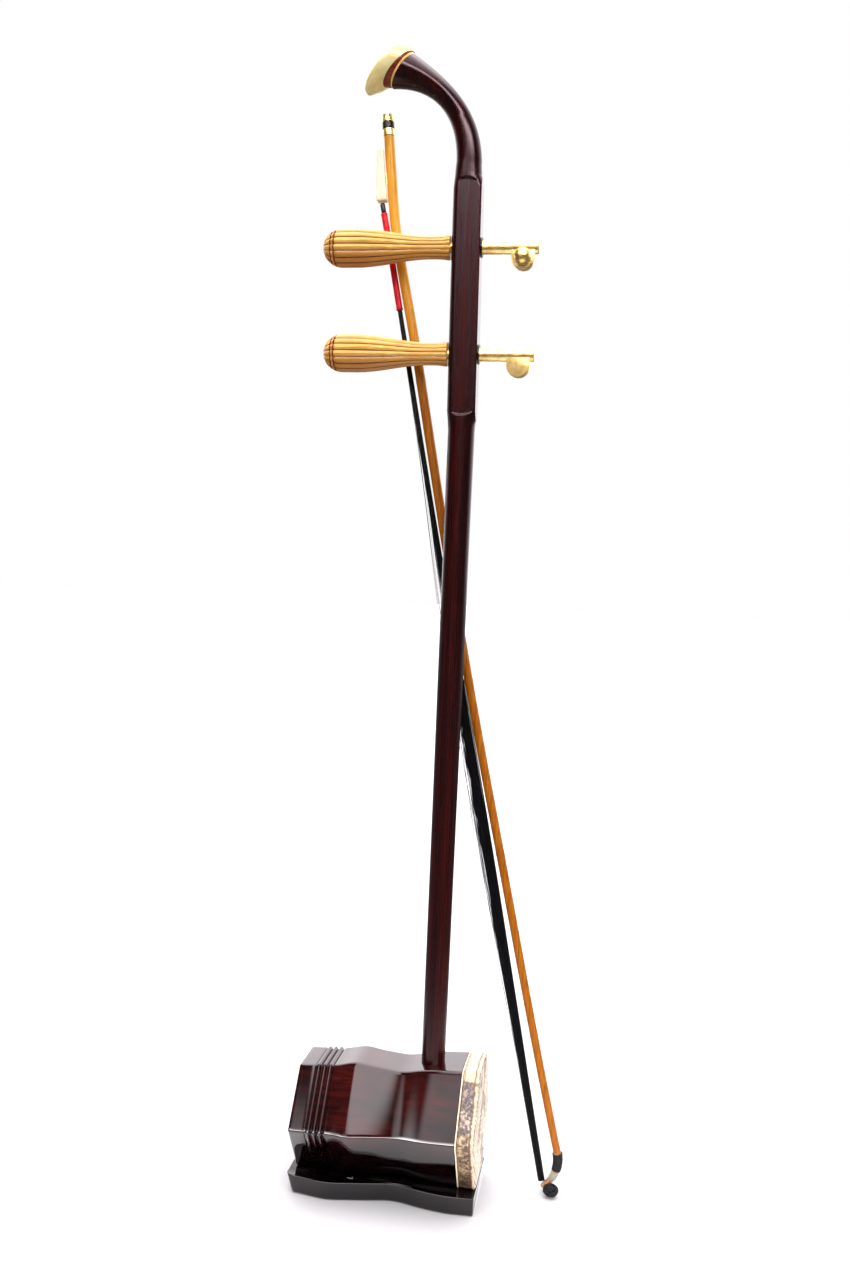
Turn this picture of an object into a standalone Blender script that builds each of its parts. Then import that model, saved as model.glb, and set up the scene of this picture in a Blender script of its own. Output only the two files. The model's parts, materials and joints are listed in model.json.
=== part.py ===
"""An erhu and its bow, built from the separate pieces of the real instrument.

The instrument stands upright on its base, unstrung. +Z is up, the snakeskin faces +X, the tuning
pegs' handles point to -X, and the origin is on the floor under the neck. The bow stands behind the
neck, on the +Y side. Lengths are written in millimetres and made into metres where they are used.
"""
import math

import bmesh
import bpy
from mathutils import Matrix, Vector

MM = 0.001
GAP = 0.3                        # clearance between two neighbouring pieces

# Resonator: an irregular hexagon with a flat top and bottom, smaller at the back.
TUBE_BACK = -97.0
TUBE_FRONT = 37.0
FACE_HALF_HEIGHT = 43.4
FACE_HALF_TOP = 19.4
FACE_HALF_MIDDLE = 47.6
BACK_HALF_HEIGHT = 38.5
BACK_HALF_TOP = 17.6
BACK_HALF_MIDDLE = 45.2
WAIST_PINCH = 2.0                # how much narrower the flat top is along the carved middle
TUBE_SEAT = 13.4                 # height of the tube's underside
TUBE_WALL = 7.5
RIM_END = -84.5
BEADS_END = -71.5
BEAD_COUNT = 3

# Snakeskin: a front membrane with a skirt glued round the tube.
SKIN_FRONT = 38.4
SKIN_THICKNESS = 1.1
SKIRT_BACK = 25.8
EDGE_BAND_BACK = 24.4
SKIN_STEP = 0.4                  # how far the skin stands proud of the lacquer

# Base.
BASE_BACK = -98.0
BASE_FRONT = 38.0
BASE_HALF_WIDTH = 31.6
SCREW_X = -55.0                  # the screw from the base into the tube's bottom stave
SCREW_RADIUS = 2.0

# Neck: round below, flat-sided at the pegs, bent back at the head.
NECK_RADIUS_LOW = 8.65
NECK_RADIUS_HIGH = 9.75
NECK_BOTTOM = 5.3
NECK_STRAIGHT_TOP = 560.0
NECK_LEAN = math.radians(0.94)   # backward lean of the peg section
PEG_SECTION_LOW = 571.0
PEG_SECTION_HIGH = 737.0
PEG_FLAT_HALF = 8.3
PEG_FRONT_FLAT = 10.65
ARCH_HALF_WIDTH = 13.0           # of the arched ends of the peg section's flat sides
ARCH_RISE = 7.2

# Tuning pegs.
UPPER_PEG_HEIGHT = 690.6
LOWER_PEG_HEIGHT = 614.7
HANDLE_LENGTH = 94.2             # length that the handle's profile is drawn for
UPPER_HANDLE_LENGTH = 94.2
LOWER_HANDLE_LENGTH = 92.3
HANDLE_STAND_OFF = 11.4          # from the neck's axis to a handle's neck end
HANDLE_RADIUS = 13.6
REEDS = 16
SHAFT_RADIUS = 4.8
SHAFT_END = 50.2
LUG_RADIUS = 8.4
LUG_CENTRE = 39.0
LUG_DROP = 7.6
LUG_HALF_THICKNESS = 4.1
KNOB_RADIUS = 5.7
BUSHING_RADIUS = 6.0

# Bow.
BOW_DEPTH = 18.0                 # distance of the bow's plane behind the neck's axis
BOW_TOP = 791.4
STICK_TOP = 777.0
STICK_BEND_START = 31.0
STICK_RADIUS_TOP = 3.9
STICK_RADIUS_LOW = 2.9
BEND_RADIUS = 26.0
BEND_ANGLE = math.radians(60)
BEND_END_RADIUS = 2.6
TIP_RADIUS = 2.3
TIP_LENGTH = 4.0
HAIR_SLOPE = 0.212
HAIR_FOOT_X = 84.6
HAIR_TOP = 664.0
HAIR_END = 9.0

ROUND = 24                       # sides of a turned piece


# ---------------------------------------------------------------- scene and materials

def clear_scene():
    for scene_object in list(bpy.data.objects):
        bpy.data.objects.remove(scene_object, do_unlink=True)


def new_collection(name):
    collection = bpy.data.collections.new(name)
    bpy.context.scene.collection.children.link(collection)
    return collection


clear_scene()
ERHU = new_collection("erhu")
CUTTERS = new_collection("cutters")


def material(name, colour, roughness, metallic=0.0):
    """A Principled BSDF material with a plain colour."""
    made = bpy.data.materials.get(name)
    if made is None:
        made = bpy.data.materials.new(name)
        made.use_nodes = True
        shader = made.node_tree.nodes["Principled BSDF"]
        shader.inputs["Base Color"].default_value = (*colour, 1.0)
        shader.inputs["Roughness"].default_value = roughness
        shader.inputs["Metallic"].default_value = metallic
        made.diffuse_color = (*colour, 1.0)
    return made


def rosewood():
    return material("black_rosewood", (0.035, 0.010, 0.010), 0.35)


def lacquer():
    return material("red_brown_lacquer", (0.060, 0.012, 0.010), 0.15)


def black_lacquer():
    return material("black_lacquer", (0.010, 0.008, 0.010), 0.15)


def bone():
    return material("bone", (0.80, 0.70, 0.50), 0.35)


def dark_inlay():
    return material("dark_red_wood", (0.085, 0.015, 0.012), 0.35)


def copper_inlay():
    return material("copper_brown_inlay", (0.40, 0.16, 0.07), 0.4)


def boxwood():
    return material("yellow_boxwood", (0.62, 0.36, 0.12), 0.4)


def brass():
    return material("brass", (0.80, 0.58, 0.25), 0.25, 1.0)


def snakeskin():
    return material("snakeskin", (0.45, 0.38, 0.28), 0.55)


def hide_edge():
    return material("hide_edge", (0.80, 0.72, 0.58), 0.6)


def cane():
    return material("amber_cane", (0.62, 0.27, 0.05), 0.35)


def black_plastic():
    return material("black_plastic", (0.012, 0.012, 0.013), 0.4)


def horse_hair():
    return material("black_hair", (0.012, 0.013, 0.018), 0.5)


def red_sleeve():
    return material("red_sleeve", (0.55, 0.01, 0.02), 0.4)


def steel():
    return material("steel", (0.55, 0.55, 0.56), 0.3, 1.0)


def grey_thread():
    return material("grey_thread", (0.50, 0.46, 0.42), 0.8)


# ---------------------------------------------------------------- modelling tools

def shade(made):
    made.data.shade_smooth()
    made.data.set_sharp_from_angle(angle=math.radians(32))


def add_object(name, mesh, look=None, parent=None):
    """Link an object made from a mesh; without a look it is a cutter."""
    made = bpy.data.objects.new(name, mesh)
    made.parent = parent
    if look:
        ERHU.objects.link(made)
        mesh.materials.append(look)
    else:
        CUTTERS.objects.link(made)
        made.hide_render = True
        made.display_type = "WIRE"
    return made


def loft(name, rings, look=None, origin=(0.0, 0.0, 0.0), parent=None):
    """One closed body through rings of equally many points, capped at both ends."""
    count = len(rings[0])
    start = Vector(origin)
    points = [(Vector(point) - start) * MM for ring in rings for point in ring]
    faces = []
    for row in range(len(rings) - 1):
        for column in range(count):
            here = row * count + column
            beside = row * count + (column + 1) % count
            faces.append((here, beside, beside + count, here + count))
    last = (len(rings) - 1) * count
    faces.append(tuple(reversed(range(count))))
    faces.append(tuple(range(last, last + count)))
    mesh = bpy.data.meshes.new(name)
    mesh.from_pydata(points, [], faces)
    made = add_object(name, mesh, look, parent)
    made.location = start * MM
    face_outward(mesh)
    if look:
        shade(made)
    return made


def face_outward(mesh):
    """Turn every face of a closed mesh to point out."""
    work = bmesh.new()
    work.from_mesh(mesh)
    bmesh.ops.recalc_face_normals(work, faces=work.faces)
    work.to_mesh(mesh)
    work.free()


def turned(name, profile, look=None, location=(0.0, 0.0, 0.0), rotation=(0.0, 0.0, 0.0),
           parent=None, sides=ROUND, closed=False):
    """A profile of (radius, height) points, listed from top to bottom, turned about its own Z."""
    points = [(radius * MM, 0.0, height * MM) for radius, height in profile]
    edges = [(index, index + 1) for index in range(len(points) - 1)]
    if closed:
        edges.append((len(points) - 1, 0))
    mesh = bpy.data.meshes.new(name)
    mesh.from_pydata(points, edges, [])
    made = add_object(name, mesh, look, parent)
    made.location = Vector(location) * MM
    made.rotation_euler = rotation
    screw = made.modifiers.new("turn", "SCREW")
    screw.steps = sides
    screw.render_steps = sides
    screw.use_merge_vertices = True
    screw.merge_threshold = 0.00001
    screw.use_smooth_shade = False
    return made


def tube_profile(inner, outer, top, bottom):
    """The closed outline of a plain sleeve, for turned()."""
    return [(inner, top), (outer, top), (outer, bottom), (inner, bottom)]


def box(name, low, high, look=None, rotation=(0.0, 0.0, 0.0), parent=None):
    """A box between two corners, turned about its own centre."""
    low = Vector(low)
    high = Vector(high)
    bpy.ops.mesh.primitive_cube_add(size=1.0)
    made = bpy.context.object
    mesh = made.data
    mesh.transform(Matrix.Diagonal((*((high - low) * MM), 1.0)))
    bpy.data.objects.remove(made)
    made = add_object(name, mesh, look, parent)
    made.location = (low + high) * 0.5 * MM
    made.rotation_euler = rotation
    return made


def cylinder(name, radius, start, end, sides=ROUND, parent=None):
    """A cylinder cutter between two points."""
    start = Vector(start)
    end = Vector(end)
    bpy.ops.mesh.primitive_cylinder_add(vertices=sides, radius=radius * MM,
                                        depth=(end - start).length * MM)
    made = bpy.context.object
    mesh = made.data
    bpy.data.objects.remove(made)
    made = add_object(name, mesh, parent=parent)
    made.location = (start + end) * 0.5 * MM
    made.rotation_euler = (end - start).to_track_quat("Z", "Y").to_euler()
    return made


def plate(name, outline, thickness, look=None):
    """A flat plate in the XZ plane from an outline of (x, z) points, centred on y = 0."""
    curve = bpy.data.curves.new(name, "CURVE")
    curve.dimensions = "2D"
    curve.fill_mode = "BOTH"
    curve.extrude = thickness * 0.5 * MM
    spline = curve.splines.new("POLY")
    spline.points.add(len(outline) - 1)
    spline.use_cyclic_u = True
    for point, (across, up) in zip(spline.points, outline):
        point.co = (across * MM, up * MM, 0.0, 1.0)
    drawn = bpy.data.objects.new(name + "_outline", curve)
    drawn.rotation_euler = (math.radians(90), 0.0, 0.0)
    return curve_to_mesh(name, drawn, look)


def curve_to_mesh(name, drawn, look=None):
    """Replace a curve object by a welded mesh object in the same place."""
    ERHU.objects.link(drawn)
    bpy.context.view_layer.update()
    evaluated = drawn.evaluated_get(bpy.context.evaluated_depsgraph_get())
    mesh = bpy.data.meshes.new_from_object(evaluated)
    mesh.transform(drawn.matrix_world)
    curve = drawn.data
    bpy.data.objects.remove(drawn)
    bpy.data.curves.remove(curve)
    work = bmesh.new()
    work.from_mesh(mesh)
    bmesh.ops.remove_doubles(work, verts=work.verts, dist=0.000001)
    bmesh.ops.recalc_face_normals(work, faces=work.faces)
    work.to_mesh(mesh)
    work.free()
    mesh.materials.clear()
    return add_object(name, mesh, look)


def cut(target, cutter, operation="DIFFERENCE"):
    modifier = target.modifiers.new(operation.lower() + "_" + cutter.name, "BOOLEAN")
    modifier.operation = operation
    modifier.object = cutter


def bevel(target, width, segments=2, angle=40.0):
    modifier = target.modifiers.new("round_edges", "BEVEL")
    modifier.width = width * MM
    modifier.segments = segments
    modifier.limit_method = "ANGLE"
    modifier.angle_limit = math.radians(angle)


def bump(position, centre, width):
    """A smooth hill of height one."""
    return math.exp(-((position - centre) / width) ** 2)


def mix(low, high, share):
    return low + (high - low) * share


# ---------------------------------------------------------------- resonator

class Hexagon:
    """A hexagon with a flat top and bottom, about its own centre."""

    def __init__(self, half_height, half_top, half_middle):
        self.half_height = half_height
        self.half_top = half_top
        self.half_middle = half_middle

    def blended(self, other, share):
        """The hexagon part of the way from this one to another."""
        return Hexagon(mix(self.half_height, other.half_height, share),
                       mix(self.half_top, other.half_top, share),
                       mix(self.half_middle, other.half_middle, share))

    def carved(self, relief, pinch):
        """The sides moved out by the relief, with a narrower flat top and bottom."""
        return Hexagon(self.half_height + relief, self.half_top - pinch, self.half_middle + relief)

    def grown(self, distance):
        """Every side moved outward by the same distance."""
        slope = self.half_middle - self.half_top
        side = math.hypot(slope, self.half_height)
        middle = self.half_middle + distance * side / self.half_height
        height = self.half_height + distance
        top = (self.half_height * self.half_middle + distance * side - slope * height)
        return Hexagon(height, top / self.half_height, middle)

    def corners(self, x, centre):
        """Corner points, from the right end of the top (-Y) round to the left."""
        return [
            (x, -self.half_top, centre + self.half_height),
            (x, -self.half_middle, centre),
            (x, -self.half_top, centre - self.half_height),
            (x, self.half_top, centre - self.half_height),
            (x, self.half_middle, centre),
            (x, self.half_top, centre + self.half_height),
        ]


FACE = Hexagon(FACE_HALF_HEIGHT, FACE_HALF_TOP, FACE_HALF_MIDDLE)
BACK = Hexagon(BACK_HALF_HEIGHT, BACK_HALF_TOP, BACK_HALF_MIDDLE)


def plain_tube(x):
    """The tapered hexagon at x, before it is carved."""
    return BACK.blended(FACE, (x - TUBE_BACK) / (SKIN_FRONT - TUBE_BACK))


def tube_centre(x):
    return TUBE_SEAT + plain_tube(x).half_height


def carved_relief(x):
    """How far the tube's carved outside stands out from the plain taper."""
    wave = 2.6 * bump(x, -54.0, 11.0) - 2.6 * bump(x, -19.0, 14.0)
    if RIM_END < x < BEADS_END:
        bead = (x - RIM_END) / (BEADS_END - RIM_END) * BEAD_COUNT
        return -1.2 + 2.2 * abs(math.sin(math.pi * bead))
    if x <= RIM_END:
        return 0.0
    return wave


def stave_stations():
    """Positions along the tube where a stave's section is taken."""
    rim = [TUBE_BACK, TUBE_BACK + 0.8, RIM_END - 0.5]
    steps = BEAD_COUNT * 4
    beads = [mix(RIM_END, BEADS_END, (step + 0.02) / (steps + 0.04)) for step in range(steps + 1)]
    body = [BEADS_END + 1.0 + 5.4 * step for step in range(17)]
    skirt = [EDGE_BAND_BACK - GAP, EDGE_BAND_BACK - GAP + 0.01, TUBE_FRONT]
    return rim + beads + body + skirt


def stave_outside(x):
    """The tube's outer hexagon at x."""
    if x > EDGE_BAND_BACK - GAP:
        return plain_tube(x).grown(-SKIN_THICKNESS - GAP)
    rim_round = 0.8 if x == TUBE_BACK else 0.0
    carved = plain_tube(x).carved(carved_relief(x), WAIST_PINCH * bump(x, -37.0, 33.0))
    return carved.grown(-SKIN_STEP - rim_round)


def stave_inside(x):
    return plain_tube(x).grown(-TUBE_WALL)


def make_staves(screw_hole):
    """Six mitred staves, each a loft along the tube."""
    names = ["stave_right_upper", "stave_right_lower", "stave_bottom", "stave_left_lower",
             "stave_left_upper", "stave_top"]
    staves = {}
    for side, name in enumerate(names):
        rings = []
        for x in stave_stations():
            outer = stave_outside(x).corners(x, tube_centre(x))
            inner = stave_inside(x).corners(x, tube_centre(x))
            first = Vector(outer[side])
            second = Vector(outer[(side + 1) % 6])
            joint = (second - first).normalized() * (GAP * 0.6)
            rings.append([
                first + joint,
                second - joint,
                Vector(inner[(side + 1) % 6]) - joint,
                Vector(inner[side]) + joint,
            ])
        staves[name] = loft(name, rings, lacquer())
    hole = cylinder("neck_hole", NECK_RADIUS_LOW + GAP, (0, 0, 1), (0, 0, 130), sides=32)
    cut(staves["stave_top"], hole)
    cut(staves["stave_bottom"], hole)
    cut(staves["stave_bottom"], screw_hole)


def make_skin():
    """The membrane and its skirt as one cup, open to the back."""
    def ring(x, shrink):
        return plain_tube(x).grown(-shrink).corners(x, tube_centre(x))

    outside = [ring(SKIN_FRONT, 1.6), ring(SKIN_FRONT - 0.5, 0.5), ring(SKIN_FRONT - 1.6, 0.0),
               ring(SKIRT_BACK, 0.0)]
    inside = [ring(SKIRT_BACK, SKIN_THICKNESS), ring(TUBE_FRONT + GAP, SKIN_THICKNESS)]
    loft("snakeskin", outside + inside, snakeskin())


def make_edge_band():
    """The trimmed edge of the hide, a narrow band round the tube behind the skirt."""
    front = SKIRT_BACK - GAP
    sections = []
    for x, shrink in ((EDGE_BAND_BACK, -0.2), (front, -0.2), (front, SKIN_THICKNESS),
                      (EDGE_BAND_BACK, SKIN_THICKNESS)):
        sections.append(plain_tube(x).grown(-shrink).corners(x, tube_centre(x)))
    loft_loop("skin_edge_band", sections, hide_edge())


def loft_loop(name, rings, look):
    """One closed ring-shaped body through rings of points, the last joined to the first."""
    count = len(rings[0])
    points = [Vector(point) * MM for ring in rings for point in ring]
    faces = []
    for row in range(len(rings)):
        for column in range(count):
            here = row * count + column
            beside = row * count + (column + 1) % count
            above = ((row + 1) % len(rings)) * count
            faces.append((here, beside, above + (column + 1) % count, above + column))
    mesh = bpy.data.meshes.new(name)
    mesh.from_pydata(points, [], faces)
    face_outward(mesh)
    return add_object(name, mesh, look)


def make_sound_window():
    """The carved lattice in the tube's open back."""
    back = TUBE_BACK + 3.5
    front = back + 3.0
    rings = []
    for x in (back, front):
        rings.append(stave_inside(x).grown(-GAP).corners(x, tube_centre(x)))
    window = loft("sound_window", rings, rosewood())
    middle = tube_centre(back)
    petals = [(0.0, 0.0)] + [(19.0 * math.cos(math.radians(60 * turn)),
                              19.0 * math.sin(math.radians(60 * turn))) for turn in range(6)]
    for index, (across, up) in enumerate(petals):
        hole = cylinder("window_hole_%d" % index, 6.6, (back - 3, across, middle + up),
                        (front + 3, across, middle + up), sides=12)
        cut(window, hole)


# ---------------------------------------------------------------- base

def base_half_width(x):
    """Half the width of the base, seen from above."""
    wave = 4.0 * bump(x, -70.0, 16.0) - 5.5 * bump(x, -22.0, 18.0) + 1.5 * bump(x, 20.0, 15.0)
    return BASE_HALF_WIDTH + wave


def base_seat(x):
    """Height of the base's flat top, which follows the tube's underside."""
    if x > EDGE_BAND_BACK - 1.0:
        return TUBE_SEAT - GAP - 0.2
    if x < RIM_END - 0.5:
        return TUBE_SEAT - GAP
    bead_height = 1.1 if x < BEADS_END + 8.0 else 0.0
    return TUBE_SEAT - max(carved_relief(x), bead_height) - GAP


def base_section(x, inset, lean):
    """One section of the base: a flat sole, rounded sides and a hollowed shelf beside the tube."""
    half = base_half_width(x) - inset
    seat = base_seat(x)
    side_top = 13.3
    tube_edge = plain_tube(x).half_top + 1.0
    half_profile = [
        (half - 2.2, 0.0),
        (half - 0.6, 1.0),
        (half, 3.4),
        (half, side_top - 2.2),
        (half - 0.7, side_top - 0.5),
        (half - 2.2, side_top),
        (mix(half - 2.2, tube_edge, 0.5), mix(side_top, seat, 0.2)),
        (tube_edge, seat),
    ]
    right = [(x - lean * z / TUBE_SEAT, -y, z) for y, z in half_profile]
    left = [(x - lean * z / TUBE_SEAT, y, z) for y, z in reversed(half_profile)]
    return right + left


def make_base(screw_hole):
    """The foot under the tube, with a socket for the neck, and the screw that holds the tube."""
    rings = [
        base_section(BASE_BACK + 1.2, 5.0, 4.0),
        base_section(BASE_BACK + 2.0, 2.6, 4.0),
        base_section(BASE_BACK + 4.2, 0.9, 3.8),
        base_section(RIM_END - 4.0, 0.2, 1.0),
        base_section(RIM_END - 1.0, 0.0, 0.2),
        base_section(RIM_END, 0.0, 0.0),
    ]
    rings += [base_section(-79.0 + 6.4 * step, 0.0, 0.0) for step in range(18)]
    rings.append(base_section(BASE_FRONT - 1.0, 0.0, 0.0))
    rings.append(base_section(BASE_FRONT, 1.0, 0.0))
    base = loft("base", rings, black_lacquer())
    cut(base, cylinder("neck_socket", NECK_RADIUS_LOW + GAP, (0, 0, NECK_BOTTOM - GAP), (0, 0, 20),
                       sides=32))
    cut(base, screw_hole)
    cut(base, cylinder("screw_recess", 5.2, (SCREW_X, 0, -1), (SCREW_X, 0, 2.9), sides=ROUND))
    profile = [(0.0, 17.5), (1.2, 17.5), (SCREW_RADIUS, 16.0), (SCREW_RADIUS, 2.6), (4.8, 2.6),
               (4.8, 1.2), (3.6, 0.7), (0.0, 0.7)]
    turned("base_screw", profile, steel(), (SCREW_X, 0.0, 0.0), sides=16)


# ---------------------------------------------------------------- neck and head

def oval(inner, outer, half_depth, sides=32, squareness=2.0):
    """A ring between an inner (back) and an outer (front) point of the neck's profile in XZ."""
    middle = (Vector(inner) + Vector(outer)) * 0.5
    half = (Vector(outer) - Vector(inner)) * 0.5
    power = 2.0 / squareness
    ring = []
    for step in range(sides):
        angle = 2.0 * math.pi * (step + 0.5) / sides
        across = math.copysign(abs(math.cos(angle)) ** power, math.cos(angle))
        depth = math.copysign(abs(math.sin(angle)) ** power, math.sin(angle))
        place = middle + half * across
        ring.append((place.x, half_depth * depth, place.y))
    return ring


def neck_centre(z):
    """The neck's axis leans back a little above its straight part."""
    return -max(z - NECK_STRAIGHT_TOP, 0.0) * math.tan(NECK_LEAN)


def straight_ring(z, back, front, half_depth, squareness=2.0):
    """A level section that reaches different distances behind and in front of the axis."""
    centre = neck_centre(z)
    return oval((centre - back, z), (centre + front, z), half_depth, squareness=squareness)


def bezier(points, share):
    """A point on a cubic Bezier curve in XZ."""
    first, second, third, fourth = (Vector(point) for point in points)
    rest = 1.0 - share
    return (first * rest ** 3 + second * 3 * rest ** 2 * share
            + third * 3 * rest * share ** 2 + fourth * share ** 3)


HEAD_FRONT = ((6.5, 750.0), (5.0, 785.0), (-15.0, 806.0), (-44.7, 826.9))
HEAD_BACK = ((-12.4, 750.0), (-12.0, 785.0), (-33.5, 805.6), (-61.4, 804.7))


def head_ring(share):
    """One section of the bent head, between its front and back outlines."""
    return oval(bezier(HEAD_BACK, share), bezier(HEAD_FRONT, share),
                mix(9.6, 13.6, max(share - 0.35, 0.0) / 0.65))


def make_neck():
    """One piece of rosewood, from the base up to the slanted end of the head."""
    rings = [straight_ring(NECK_BOTTOM, NECK_RADIUS_LOW, NECK_RADIUS_LOW, NECK_RADIUS_LOW)]
    for z in (107.0, 300.0, 480.0, NECK_STRAIGHT_TOP):
        radius = mix(NECK_RADIUS_LOW, NECK_RADIUS_HIGH, ((z - 107.0) / 453.0) ** 1.4)
        rings.append(straight_ring(z, radius, radius, radius))
    rings.append(straight_ring(566.0, 10.1, 10.2, 9.8, 2.15))
    rings.append(straight_ring(574.0, 10.8, 13.3, 9.7, 2.7))
    rings.append(straight_ring(655.0, 10.9, 13.5, 9.6, 2.8))
    rings.append(straight_ring(732.0, 10.6, 13.2, 9.5, 2.7))
    rings.append(straight_ring(741.0, 9.9, 10.0, 9.6, 2.2))
    head_steps = 14
    rings += [head_ring(step / head_steps) for step in range(head_steps + 1)]
    neck = loft("neck", rings, rosewood())

    middle = (PEG_SECTION_LOW + PEG_SECTION_HIGH) * 0.5
    length = PEG_SECTION_HIGH - PEG_SECTION_LOW
    half_circle = [math.radians(15 * step) for step in range(13)]
    straight = length * 0.5 - ARCH_RISE
    outline = [(ARCH_HALF_WIDTH * math.cos(turn), straight + ARCH_RISE * math.sin(turn))
               for turn in half_circle]
    outline += [(-across, -up) for across, up in outline]
    for name, side in (("right_flat", -1.0), ("left_flat", 1.0)):
        flat = plate(name, outline, 8.0)
        flat.location = (neck_centre(middle) * MM, side * (PEG_FLAT_HALF + 4.0) * MM, middle * MM)
        flat.rotation_euler = (0.0, -NECK_LEAN, 0.0)
        cut(neck, flat)
    front_x = neck_centre(middle) + PEG_FRONT_FLAT
    front = box("front_flat", (front_x, -12, PEG_SECTION_LOW - 6), (front_x + 8, 12,
                PEG_SECTION_HIGH + 6), rotation=(0.0, -NECK_LEAN, 0.0))
    cut(neck, front)
    for name, height in (("upper", UPPER_PEG_HEIGHT), ("lower", LOWER_PEG_HEIGHT)):
        cut(neck, cylinder(name + "_peg_hole", BUSHING_RADIUS + GAP, (-30, 0, height),
                           (30, 0, height)))


def make_head():
    """Two inlaid rings and a flared bone cap on the slanted end of the neck."""
    neck_back = Vector(HEAD_BACK[3])
    neck_front = Vector(HEAD_FRONT[3])
    outward = Vector((-0.74, 0.67))
    ring_back = Vector((-68.0, 806.2))
    ring_front = Vector((-45.8, 828.9))

    def section(back, front, shift, half_depth):
        return oval(back + outward * shift, front + outward * shift, half_depth)

    cream = [section(neck_back, neck_front, GAP, 13.7), section(neck_back, neck_front, 1.5, 14.0)]
    loft("head_inlay_cream", cream, bone())
    dark = [section(neck_back, neck_front, 1.5 + GAP, 14.2), section(ring_back, ring_front, 0.0,
                                                                    15.0)]
    loft("head_inlay_dark", dark, dark_inlay())
    rim_back = Vector((-80.6, 801.6))
    rim_front = Vector((-50.2, 835.4))
    rim_middle = (rim_back + rim_front) * 0.5
    cap = [section(ring_back, ring_front, GAP, 15.2),
           oval((-73.6, 803.0), (-47.6, 832.8), 16.6),
           oval((-79.4, 800.8), (-49.0, 834.6), 17.6),
           oval(rim_back, rim_front, 18.0)]
    bulge = 6.2
    for turn in (25, 45, 62, 76, 86):
        reach = math.cos(math.radians(turn))
        rise = outward * bulge * math.sin(math.radians(turn))
        cap.append(oval(rim_middle + (rim_back - rim_middle) * reach + rise,
                        rim_middle + (rim_front - rim_middle) * reach + rise, 18.0 * reach))
    loft("head_cap", cap, bone())


# ---------------------------------------------------------------- tuning pegs

def handle_radius(along):
    """Radius of a full-length peg handle at a distance from its neck end."""
    swell = min(max((along - 14.0) / 56.0, 0.0), 1.0)
    radius = 8.0 + (HANDLE_RADIUS - 8.0) * (0.5 - 0.5 * math.cos(math.pi * swell))
    radius += 0.8 * math.exp(-(along / 5.0) ** 2)
    if along > 80.0:
        radius = HANDLE_RADIUS * math.sqrt(max(1.0 - ((along - 80.0) / 14.4) ** 2, 0.0))
    return radius


def reeded_ring(x, radius, height, depth=0.055):
    """A ring of convex reeds about the peg's axis."""
    ring = []
    points_per_reed = 3
    total = REEDS * points_per_reed
    for step in range(total):
        phase = (step % points_per_reed) / points_per_reed
        angle = 2.0 * math.pi * step / total
        reach = radius * (1.0 - depth * (1.0 - math.sin(math.pi * phase)))
        ring.append((x, reach * math.cos(angle), height + reach * math.sin(angle)))
    return ring


def make_peg(prefix, height, length, knob_side):
    """One tuning peg: a reeded handle with three inlaid rings and a butt, on a brass shaft."""
    stretch = length / HANDLE_LENGTH
    axis = (0.0, 0.0, height)
    start = neck_centre(height) - HANDLE_STAND_OFF

    def ring(along):
        return reeded_ring(start - along * stretch, handle_radius(along), height)

    handle = [reeded_ring(start - 21.0, 3.6, height, 0.0), reeded_ring(start, 3.6, height, 0.0)]
    stations = [0.0, 3.0, 8.0, 16.0, 26.0, 36.0, 46.0, 56.0, 66.0, 76.0, 81.0, 83.6]
    handle += [ring(along) for along in stations]
    loft(prefix + "_handle", handle, boxwood(), axis)
    for part, near, far, look in (("inlay_inner", 83.9, 84.7, dark_inlay()),
                                  ("inlay_copper", 85.0, 86.3, copper_inlay()),
                                  ("inlay_outer", 86.6, 87.4, dark_inlay())):
        loft(prefix + "_" + part, [ring(near), ring(far)], look, axis)
    butt = [ring(along) for along in (87.7, 89.4, 91.2, 92.8, 94.0)]
    loft(prefix + "_butt", butt, boxwood(), axis)

    quarter_turn = (0.0, math.radians(90), 0.0)
    shaft_profile = [(0.0, SHAFT_END), (SHAFT_RADIUS - 0.8, SHAFT_END),
                     (SHAFT_RADIUS, SHAFT_END - 0.8), (SHAFT_RADIUS, start + 1.0),
                     (3.3, start + 1.0), (3.3, start - 20.4), (0.0, start - 20.4)]
    shaft = turned(prefix + "_shaft", shaft_profile, brass(), axis, quarter_turn)
    arc = [math.radians(180 + 15 * step) for step in range(13)]
    outline = [(LUG_CENTRE - LUG_RADIUS, 1.8)]
    outline += [(LUG_CENTRE + LUG_RADIUS * math.cos(turn),
                 -LUG_DROP + LUG_RADIUS * math.sin(turn)) for turn in arc]
    outline.append((LUG_CENTRE + LUG_RADIUS, 1.8))
    lug = plate(prefix + "_lug", outline, 2.0 * LUG_HALF_THICKNESS)
    lug.location = Vector(axis) * MM
    cut(shaft, lug, "UNION")
    pin_radius = 2.0
    lug_height = height - LUG_DROP
    face = knob_side * LUG_HALF_THICKNESS
    cut(shaft, cylinder(prefix + "_knob_hole", pin_radius + GAP,
                        (LUG_CENTRE, face * 1.5, lug_height),
                        (LUG_CENTRE, -face * 0.5, lug_height), sides=16))
    knob_profile = [(0.0, 8.2), (2.4, 7.9), (4.2, 6.9), (5.2, 5.4), (KNOB_RADIUS, 3.4),
                    (KNOB_RADIUS, GAP), (pin_radius, GAP), (pin_radius, -5.6), (0.0, -5.6)]
    turned(prefix + "_knob", knob_profile, brass(), (LUG_CENTRE, face, lug_height),
           (math.radians(-90.0 * knob_side), 0.0, 0.0))
    bushing_profile = [(SHAFT_RADIUS + GAP, 1.0), (7.0, 1.0), (7.0, GAP), (BUSHING_RADIUS, GAP),
                       (BUSHING_RADIUS, -18.0), (SHAFT_RADIUS + GAP, -18.0)]
    face_x = neck_centre(height) + PEG_FRONT_FLAT + 0.1
    turned(prefix + "_bushing", bushing_profile, black_plastic(), (face_x, 0.0, height),
           quarter_turn, closed=True)


# ---------------------------------------------------------------- bow

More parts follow.
